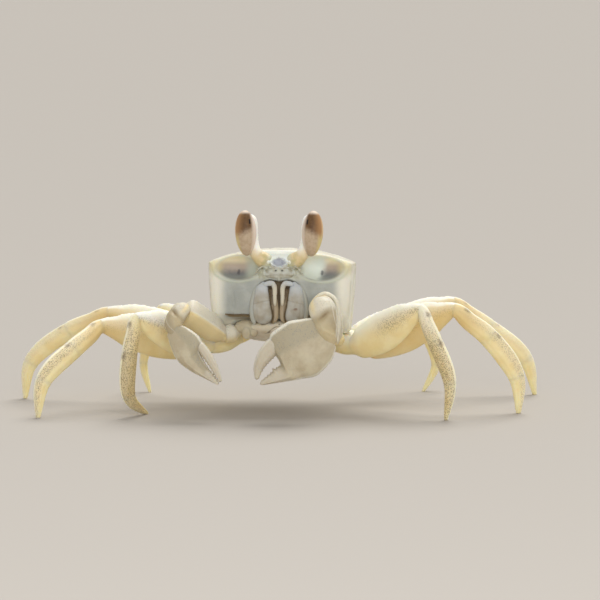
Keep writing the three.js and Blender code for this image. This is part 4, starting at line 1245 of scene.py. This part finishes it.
def back_finish():
    f = Finish("back_shell", Specular_IOR_Level=0.4, **SOFT)
    x, z, front, hollow, depth = (f.mark(name) for name in ("trunk_x", "trunk_z", "front", "hollow", "depth"))
    wide = f.math("ABSOLUTE", x)
    patches = f.cloud(2.6, 3.0, 0.55)
    specks = f.ramp(f.cells(0.34), 0.2, 0.11) * f.ramp(f.cloud(1.6, 2.0, 0.5, 7.0), 0.42, 0.6)
    # back and flanks: pale sand, with a network of darker specks
    sand = f.mottled(rgb(222, 217, 198), rgb(202, 196, 176), patches)
    groove = f.ramp(f.mark("groove"), 0.25, 1.0) * (0.3 + 0.5 * f.cloud(1.2, 3.0))
    sand = f.mix(sand, rgb(158, 148, 124), groove)
    sand = f.mix(sand, rgb(126, 112, 92), specks * f.ramp(z, 1.5, 5.0) * 0.55)
    # the flanks paler: painted highlight where the side walls catch the light
    flank = f.mottled(rgb(232, 230, 216), rgb(218, 214, 196), patches, 0.4, 0.7)
    f.colour = f.mix(flank, sand, f.ramp(z, 3.0, 5.6))
    # face: grey-green white cheeks; cream at the outer corners, painted highlight on the lit side walls
    cheek = f.mottled(rgb(184, 186, 178), rgb(168, 170, 162), patches, 0.3, 0.72)
    cheek = f.mix(cheek, rgb(236, 232, 216), f.ramp(wide, 8.4, 10.4))
    f.paint(cheek, front * f.ramp(z, 4.2, 2.2))
    # painted highlight: the face paler above the sockets' middle, whitest along the front's top edge
    f.paint(rgb(228, 232, 222), front * f.ramp(z, 5.0, 6.0))
    f.paint(rgb(245, 242, 232), front * f.ramp(z, 6.7, 7.2) * f.ramp(wide, 4.6, 3.6))
    # sockets: painted light, cream and yellow, under the margin, and painted smoke-grey shade below
    pit = f.mix(rgb(188, 172, 154), rgb(108, 112, 120), f.ramp(z + 0.5 * f.cloud(0.6), 5.0, 3.3))
    pit = f.mix(pit, rgb(248, 236, 200), f.ramp(z, 4.7, 5.9))
    # the yellow is light showing through the thin roof at the outer side
    pit = f.mix(pit, rgb(232, 214, 150), f.ramp(wide, 9.0, 10.8) * f.ramp(z, 2.8, 4.4))
    pit = f.mix(pit, rgb(192, 197, 184), f.ramp(wide, 6.3, 4.6))
    slant = wide - 0.3 * (z - 3.7) + 0.8 * f.cloud(0.9)
    pit = f.mix(pit, rgb(228, 234, 224), f.ramp(x, 0.0, 1.0) * f.ramp(slant, 8.2, 6.5))
    streak = (wide - 6.9) * (wide - 6.9) * 2.6 + (z - 3.7) * (z - 3.7) * 0.8
    pit = f.mix(pit, rgb(70, 70, 78), f.ramp(streak + 0.25 * f.cloud(0.3), 0.42, 0.1) * 0.75)
    f.paint(pit, hollow)
    upper = f.mix(rgb(196, 200, 180), rgb(250, 244, 210), f.ramp(z, 4.0, 5.6))
    f.paint(upper, f.mark("rim") * 0.8)
    # painted light: yellow where light shows through the thin shell past the sockets' outer ends
    f.paint(rgb(232, 218, 164), f.ramp(wide, 9.8, 11.2) * f.ramp(z, 2.5, 4.6) * front * 0.5)
    # olive-brown marbling between the lobe, the sockets and the mouth
    nose = f.ramp(wide, 1.4, 2.0) * f.ramp(wide, 4.3, 3.2) * f.ramp(z, 2.3, 3.0) * f.ramp(z, 5.6, 4.6)
    f.paint(rgb(196, 198, 182), nose * front)
    f.paint(rgb(152, 144, 106), nose * f.marbling(0.8) * front * 0.5)
    # the front lobe: white rim and lilac middle
    lilac = f.ramp(wide * wide * 0.45 + (z - 5.45) * (z - 5.45) + 1.1 * f.cloud(0.45, 3.0), 1.5, 0.7)
    slate = f.mix(rgb(148, 152, 164), rgb(112, 113, 130), f.ramp(f.cloud(0.9, 2.0), 0.4, 0.62))
    lobe = f.mix(rgb(224, 228, 218), slate, lilac * 0.85)
    f.paint(lobe, f.mark("lobe"))
    # painted shade: brown deepening into the fold round the mouth; then a brown line along the crease of the
    # cheek
    f.paint(rgb(128, 110, 84), f.ramp(depth, 0.35, 1.0) * front * f.ramp(z, 2.7, 2.2))
    line = f.ramp(f.math("ABSOLUTE", z + 3.35 + 0.3 * f.cloud(0.8)), 0.22, 0.03)
    line = line * f.ramp(wide, 4.2, 4.6) * f.ramp(wide, 9.0, 8.2)
    f.paint(rgb(112, 94, 68), line * front * 0.8)
    roughness = 0.5 + 0.16 * f.cloud(0.9, 3.0) - hollow * 0.14
    return f.finish(roughness, f.grained(0.3, 0.6, 0.18, 0.25) * (1 - hollow * 0.7), 0.05)


def belly_finish():
    f = Finish("belly_shell", Specular_IOR_Level=0.4, **SOFT)
    patches = f.cloud(2.2, 3.0, 0.55)
    f.colour = f.mottled(rgb(240, 231, 210), rgb(224, 212, 186), patches)
    f.paint(rgb(120, 100, 74), f.ramp(f.mark("seam"), 0.2, 0.8) * 0.8)
    return f.finish(0.42 + 0.14 * f.cloud(1.1), f.grained(0.3, 0.6, 0.15, 0.3), 0.04)


def mouth_finish():
    f = Finish("mouthpart", Specular_IOR_Level=0.45, **SOFT)
    palp, seam, inner = f.mark("palp"), f.mark("seam"), f.mark("inner")
    patches = f.cloud(1.3, 3.0, 0.5)
    f.colour = f.mottled(rgb(190, 187, 176), rgb(174, 166, 148), patches)
    # bluish white over the upper parts of the plates and palps, partly painted highlight
    f.paint(rgb(198, 203, 206), f.mark("top") * (0.4 + 0.7 * f.cloud(0.9)))
    f.paint(rgb(124, 104, 76), inner * (1 - palp) * 0.75)
    f.paint(rgb(136, 116, 86), seam * 0.6)
    f.paint(rgb(132, 104, 84), f.ramp(f.mark("smudge") * (0.5 + f.cloud(0.4)), 0.2, 0.9) * 0.8)
    f.paint(rgb(214, 206, 184), palp * (1 - 0.6 * f.mark("top")))
    f.paint(rgb(178, 178, 166), f.mark("branch"))
    soft = f.mix(rgb(184, 166, 136), rgb(112, 90, 62), f.mark("fold") * (0.6 + 0.5 * f.cloud(0.5)))
    f.paint(soft, f.mark("within"))
    return f.finish(0.38 + 0.18 * f.cloud(0.7), f.grained(0.24, 0.5, 0.16, 0.4), 0.035)


def epistome_finish():
    f = Finish("epistome", Specular_IOR_Level=0.45, **SOFT)
    patches = f.cloud(0.8, 3.0, 0.5)
    f.colour = f.mottled(rgb(200, 201, 188), rgb(180, 175, 156), patches)
    f.paint(rgb(140, 128, 92), f.ramp(f.mark("wide"), 1.2, 2.2) * f.marbling(0.7) * 0.6)
    f.paint(rgb(128, 114, 84), f.mark("furrow") * 0.4)
    f.paint(rgb(48, 40, 34), f.ramp(f.mark("pit"), 0.3, 0.75) * 0.9)
    return f.finish(0.4 + 0.15 * f.cloud(0.6), f.grained(0.22, 0.5, 0.14, 0.4), 0.035)


def feeler_finish():
    f = Finish("feeler", Specular_IOR_Level=0.45, **SOFT)
    f.colour = f.mix(rgb(200, 201, 186), rgb(156, 146, 110), f.marbling(0.7) * 0.55)
    f.paint(rgb(246, 244, 226), f.mark("bead"))
    return f.finish(0.35 + 0.15 * f.cloud(0.5), f.cloud(0.14), 0.03)


def setae_finish():
    f = Finish("setae", Specular_IOR_Level=0.4)
    tint = f.mix(rgb(134, 114, 82), rgb(110, 90, 60), f.cloud(0.5))
    f.colour = f.mix(tint, rgb(168, 146, 106), f.ramp(f.mark("along"), 0.35, 1.0))
    return f.finish(0.55, f.cloud(0.1), 0.005)


def leg_finish():
    f = Finish("leg_shell", Specular_IOR_Level=0.4, Subsurface_Weight=0.5,
               Subsurface_Radius=(1.0, 0.85, 0.5), Subsurface_Scale=0.0014)
    up, edge, shank = f.mark("up"), f.mark("edge"), f.mark("shank")
    patches = f.cloud(2.4, 3.0, 0.55)
    f.colour = f.mottled(rgb(249, 233, 184), rgb(242, 222, 164), patches)
    f.paint(rgb(226, 200, 140), f.mark("amber"))
    pale = f.ramp(up, -0.2, 0.8) * (0.85 - 0.45 * shank) * (1 - 0.6 * f.mark("amber"))
    f.paint(rgb(248, 243, 222), pale)
    # white on the first legs, partly painted highlight on their upper faces
    f.paint(rgb(246, 245, 236), f.mark("bloom") * (0.6 + 0.5 * f.cloud(0.7, 3.0, 0.6, 11.0)))
    f.paint(f.mix(rgb(253, 248, 232), rgb(250, 241, 212), shank), f.ramp(edge, 0.35, 0.9) * 0.9)
    # minute dark specks, thick on the forward faces of the front shanks
    where = f.mark("speckled") * f.ramp(edge, 0.95, 0.4)
    near = f.cells(0.17) + 0.3 * f.cloud(0.12) - 0.15
    dots = f.ramp(near, 0.44, 0.28) * f.ramp(f.cloud(0.6, 2.0, 0.5, 3.0) + 0.25 * where, 0.36, 0.5)
    f.paint(rgb(182, 160, 116), f.math("MINIMUM", where, 1.0) * 0.6)
    f.paint(rgb(98, 78, 54), dots * f.math("MINIMUM", where * 2.0, 1.0) * 0.85)
    spot = f.mark("spot") * (0.1 + 1.7 * f.cloud(0.35, 3.0, 0.7))
    f.paint(rgb(122, 108, 92), f.ramp(spot, 0.15, 1.1) * 0.75)
    return f.finish(0.42 + 0.14 * f.cloud(0.9), f.grained(0.24, 0.6, 0.16, 0.3), 0.04)


def claw_finish():
    f = Finish("claw_shell", Specular_IOR_Level=0.42, **SOFT)
    edge, finger = f.mark("edge"), f.mark("finger")
    patches = f.cloud(2.0, 3.0, 0.55)
    f.colour = f.mottled(rgb(206, 195, 167), rgb(191, 177, 148), patches)
    # painted shade over the carpus and the folds of the claw root
    f.paint(rgb(168, 151, 117), f.mark("shade"))
    # the palm's upper strip: greyer, partly painted shadow of the carpus, and finely specked with slate blue
    f.paint(rgb(180, 169, 142), f.mark("band"))
    # white with painted highlight on upward faces, the carpus head and the rims
    f.paint(rgb(222, 215, 195), f.mark("bloom") * (0.7 + 0.4 * f.cloud(0.7, 3.0)))
    f.paint(rgb(234, 230, 214), f.ramp(edge, 0.3, 0.9) * 0.8)
    specks = f.ramp(f.cells(0.27), 0.34, 0.16) * f.ramp(f.cloud(0.9, 2.0, 0.5, 5.0), 0.38, 0.58)
    f.paint(rgb(112, 118, 134), specks * f.math("MAXIMUM", f.mark("band"), f.mark("bloom") * 0.6) * 0.65)
    # ochre on joint skin and joint lines; warm painted shade on lower and inner sides
    f.paint(rgb(242, 221, 166), f.mark("ochre") * (0.7 + 0.3 * f.cloud(1.2)))
    f.paint(rgb(210, 201, 184), finger * 0.5)
    f.paint(rgb(134, 108, 70), f.ramp(f.mark("crease"), 0.2, 1.0) * (0.2 + 0.8 * f.cloud(0.5, 3.0)))
    return f.finish(0.4 + 0.16 * f.cloud(0.8), f.grained(0.26, 0.6, 0.16, 0.3), 0.045)


def stalk_finish():
    f = Finish("eyestalk", Specular_IOR_Level=0.45, **SOFT)
    along, outer = f.mark("along"), f.mark("outer")
    f.colour = f.mix(rgb(226, 204, 156), rgb(240, 232, 212), f.ramp(along, 0.28, 0.48))
    f.paint(rgb(206, 208, 186), f.ramp(along, 0.24, 0.12))
    f.paint(rgb(252, 249, 238), f.ramp(outer, 0.2, -0.6) * f.ramp(along, 0.26, 0.45))
    f.paint(rgb(178, 170, 110), f.ramp(f.cloud(1.0, 2.0), 0.35, 0.7) * f.ramp(along, 0.36, 0.2) * 0.65)
    return f.finish(0.36 + 0.14 * f.cloud(0.6), f.grained(0.22, 0.4, 0.14, 0.4), 0.03)


def eye_finish():
    f = Finish("eye", Specular_IOR_Level=0.25, Coat_Weight=0.1, Coat_Roughness=0.25,
               Subsurface_Weight=0.2, Subsurface_Radius=(1.0, 0.6, 0.35), Subsurface_Scale=0.0005)
    rise, outer, facing = f.mark("rise"), f.mark("outer"), f.mark("facing")
    mottle = f.cloud(0.5, 3.0, 0.6)
    brown = f.mottled(rgb(116, 84, 50), rgb(100, 71, 42), mottle, 0.35, 0.65)
    brown = f.mix(brown, rgb(182, 138, 92), f.ramp(outer, 0.0, 1.0))
    brown = f.mix(brown, rgb(222, 190, 142), f.ramp(outer, 0.84, 0.98))
    tan = f.mottled(rgb(196, 175, 148), rgb(183, 160, 132), mottle)
    tan = f.mix(tan, rgb(220, 200, 138), f.ramp(outer, 0.45, 0.9))
    level = rise + 0.09 * outer + 0.06 * (mottle - 0.5)
    f.colour = f.mix(tan, brown, f.ramp(level, 0.42, 0.63))
    cream = f.ramp(outer, -0.55, -0.9)
    f.paint(rgb(228, 210, 192), cream)
    # painted highlight: pinkish cream along the eye's top
    f.paint(rgb(238, 220, 200), f.ramp(rise, 0.9, 0.98) * 0.85)
    # a painted pseudopupil: the dark spot where the facets look straight at the viewer, fixed facing forward
    across, along = f.math("ABSOLUTE", outer + 0.52), f.math("ABSOLUTE", rise - 0.75)
    painted_pseudopupil = f.ramp(across, 0.1, 0.05) * f.ramp(along, 0.065, 0.04)
    f.paint(rgb(24, 18, 16), painted_pseudopupil * f.ramp(facing, 0.2, 0.4))
    facets = f.cells(0.07, randomness=0.25)
    return f.finish(0.44 + 0.1 * mottle, f.ramp(facets, 0.6, 0.1), 0.006)


# ---------------------------------------------------------------- assembly

finishes = dict(
    back=back_finish(), belly=belly_finish(), mouth=mouth_finish(), epistome=epistome_finish(),
    leg=leg_finish(), claw=claw_finish(), stalk=stalk_finish(), eye=eye_finish(), feeler=feeler_finish(),
    setae=setae_finish(),
)

place_piece("back_shell", carapace_shape(), finishes["back"], "back_shell", "carapace")
place_piece("breastplate", sternum_shape(), finishes["belly"], "belly_shell", "sternum")
place_piece("tail_flap", abdomen_shape(), finishes["belly"], "belly_shell", "abdomen")
place_piece("mouth_roof", epistome_shape(), finishes["epistome"], "back_shell", "epistome")

for side_name, sign in SIDES.items():
    place_piece(f"outer_mouthpart_{side_name}", maxilliped_shape(sign), finishes["mouth"], "mouthpart",
                f"mouthpart_{side_name}")
    place_piece(f"feeler_{side_name}", feeler_shape(sign), finishes["feeler"], "mouthpart")
    chance = np.random.default_rng(40 + sign)
    place_piece(f"cheek_setae_{side_name}", cheek_setae(sign, chance), finishes["setae"], "back_shell")
    place_piece(f"mouth_setae_{side_name}", mouth_setae(sign, chance), finishes["setae"], "mouthpart")
    place_piece(f"eyeball_{side_name}", eye_shape(sign), finishes["eye"], "eye", f"eye_{side_name}")
    place_piece(f"stalk_{side_name}", eyestalk_shape(sign), finishes["stalk"], "eyestalk",
                f"eyestalk_{side_name}")


SPECKLED_SEGMENTS = {"merus": 0.3, "carpus": 0.6, "propodus": 1.0, "dactyl": 0.8}
SPECKLED_LEGS = (1.0, 0.45, 0.12, 0.1)  # from the first leg to the last
SPOTTED_LEGS = (1.0, 0.9, 0.6, 0.4)


def leg_marks(shape, name, index, sign):
    """Where the specks, the white with its painted highlight, and the dark spot at each joint's upper edge
    go.
    """
    s, height = shape.read("along", "up")
    right = sign < 0
    shank = name in ("carpus", "propodus", "dactyl")
    forward = smoothstep(-0.1, 0.5, -shape.normals()[:, 1])
    amount = SPECKLED_SEGMENTS.get(name, 0.0) * (SPECKLED_LEGS[index] * (1.1 if right else 0.65))
    spread = np.ones(len(s))
    if name == "carpus":
        spread = smoothstep(-0.2, 0.8, s)
    if name == "merus":
        spread = bell(height - 0.15, 0.45) * smoothstep(0.3, 0.6, s) * (1 if right else 2.2)
    if index > 0 and shank:
        spread = spread * smoothstep(-0.1, 0.45, height)
    spot = bloom = amber = 0
    if name in ("carpus", "propodus"):
        spot = bell(s - (0.2 if name == "carpus" else 0.1), 0.1) * bell(height - 0.85, 0.24)
    if index == 0 and name == "merus":
        bloom = smoothstep(-0.1, 0.35, height) if right else 0.6 * smoothstep(0.3, 1.0, height)
    if index == 0 and name == "carpus" and not right:
        bloom = 0.5 * smoothstep(1.0, 0.5, s)
    if index in (1, 2) and name == "merus":
        start = 0.1 if right else 0.45
        amber = start + (0.9 - start) * smoothstep(0.6, 1.0, s)
    if index in (1, 2) and name == "carpus":
        amber = 0.9 * smoothstep(1.0, 0.25, s)
    spot = spot * (0.35 + 0.65 * forward) * SPOTTED_LEGS[index]
    shape.keep(shank=shank, amber=amber, bloom=bloom, spot=spot, speckled=amount * forward * spread)


for side_name, sign in SIDES.items():
    for index, pose in enumerate(LEG_POSES[side_name]):
        leg = Leg(sign, index, pose)
        for step, name in enumerate(SEGMENTS):
            shape = leg_segment(leg, step, 100 + 10 * index + step)
            leg_marks(shape, name, index, sign)
            place_piece(f"walking_leg_{side_name}_{index + 1}_{name}", shape, finishes["leg"], "leg_shell",
                        f"leg_{side_name}_{index + 1}_{name}")

for side_name, sign in SIDES.items():
    claw = CLAWS[side_name]
    joints = [np.array(claw[key]) for key in ("root", "shoulder", "elbow", "wrist")]
    for step, name in enumerate(("base", "merus", "carpus")):
        if name == "carpus":
            shape = carpus_shape(sign, claw, 320)
        else:
            shape = claw_arm_segment(name, *joints[step : step + 2], claw, sign, 300 + 10 * step)
        place_piece(f"arm_{side_name}_{name}", shape, finishes["claw"], "claw_shell",
                    f"claw_{side_name}_{name}")
    girth = claw["merus"] * 0.2
    skins = [joint_skin(*joints[0:3], girth, 320), joint_skin(*joints[1:4], girth, 321)]
    place_piece(f"claw_joint_skin_{side_name}", joined(skins), finishes["claw"], "claw_shell")
    place_piece(f"claw_root_{side_name}", claw_root(sign), finishes["claw"], "claw_shell")
    place_piece(f"palm_{side_name}", palm_shape(sign, claw, 340), finishes["claw"], "claw_shell",
                f"claw_{side_name}_palm")
    place_piece(f"moving_finger_{side_name}", finger_shape(sign, claw, 350), finishes["claw"], "claw_shell",
                f"claw_{side_name}_finger")


# ---------------------------------------------------------------- floor, light and camera


FLOOR_HALF = 3.0  # metres
AZIMUTH, ELEVATION = np.radians(5), np.radians(7)  # of the camera: round to the left of the front, and up
CAMERA_DISTANCE = 0.7
CAMERA_TARGET = Vector((0.00425, -0.0001, 0.01785))
LENS = 252
SENSOR = 36


def floor_finish():
    f = Finish("pale_floor", Roughness=0.9, Specular_IOR_Level=0.2)
    f.feed(f.shader.inputs["Base Color"], rgb(184, 178, 170))
    return f.material


def pale_floor():
    mesh = bpy.data.meshes.new("floor")
    corners = [(x * FLOOR_HALF, y * FLOOR_HALF, 0) for x, y in ((-1, -1), (1, -1), (1, 1), (-1, 1))]
    mesh.from_pydata(corners, [], [(0, 1, 2, 3)])
    mesh.materials.append(floor_finish())
    floor = show("floor", mesh)


def lamp(name, kind, power, colour, toward):
    """A light that shines from a direction. Returns its data and its object."""
    light = bpy.data.lights.new(name, kind)
    light.energy = power
    light.color = colour
    shown = show(name, light)
    shown.rotation_euler = toward.to_track_quat("Z", "Y").to_euler()
    return light, shown


def soft_light(name, place, target, size, power, colour):
    light, shown = lamp(name, "AREA", power, colour, Vector(place) - Vector(target))
    light.shape = "DISK"
    light.size = size
    shown.location = place


def wide_light(name, toward, spread, strength, colour):
    """An even light from far away, as soft as a lamp this many degrees across."""
    light, _ = lamp(name, "SUN", strength, colour, Vector(toward))
    light.angle = float(np.radians(spread))


def sky(colour, strength):
    world = bpy.data.worlds.new("studio")
    world.use_nodes = True
    background = world.node_tree.nodes["Background"]
    background.inputs["Color"].default_value = colour
    background.inputs["Strength"].default_value = strength
    bpy.context.scene.world = world


def camera():
    data = bpy.data.cameras.new("camera")
    data.sensor_width = SENSOR
    data.lens = LENS
    data.clip_start = 0.01
    level = np.cos(ELEVATION)
    aim = Vector((np.sin(AZIMUTH) * level, -np.cos(AZIMUTH) * level, np.sin(ELEVATION)))
    eye = show("camera", data)
    eye.location = CAMERA_TARGET + aim * CAMERA_DISTANCE
    eye.rotation_euler = aim.to_track_quat("Z", "Y").to_euler()
    bpy.context.scene.camera = eye


pale_floor()
sky(rgb(213, 213, 214), 0.85)
wide_light("overhead", (0.2, 0.55, 1.0), 45, 2.2, (1.0, 0.985, 0.95))
soft_light("front_fill", (0.1, -0.55, 0.14), (0, 0, 0.015), 0.5, 1.35, (0.98, 0.99, 1.0))
camera()
bpy.context.scene.view_settings.view_transform = "Standard"
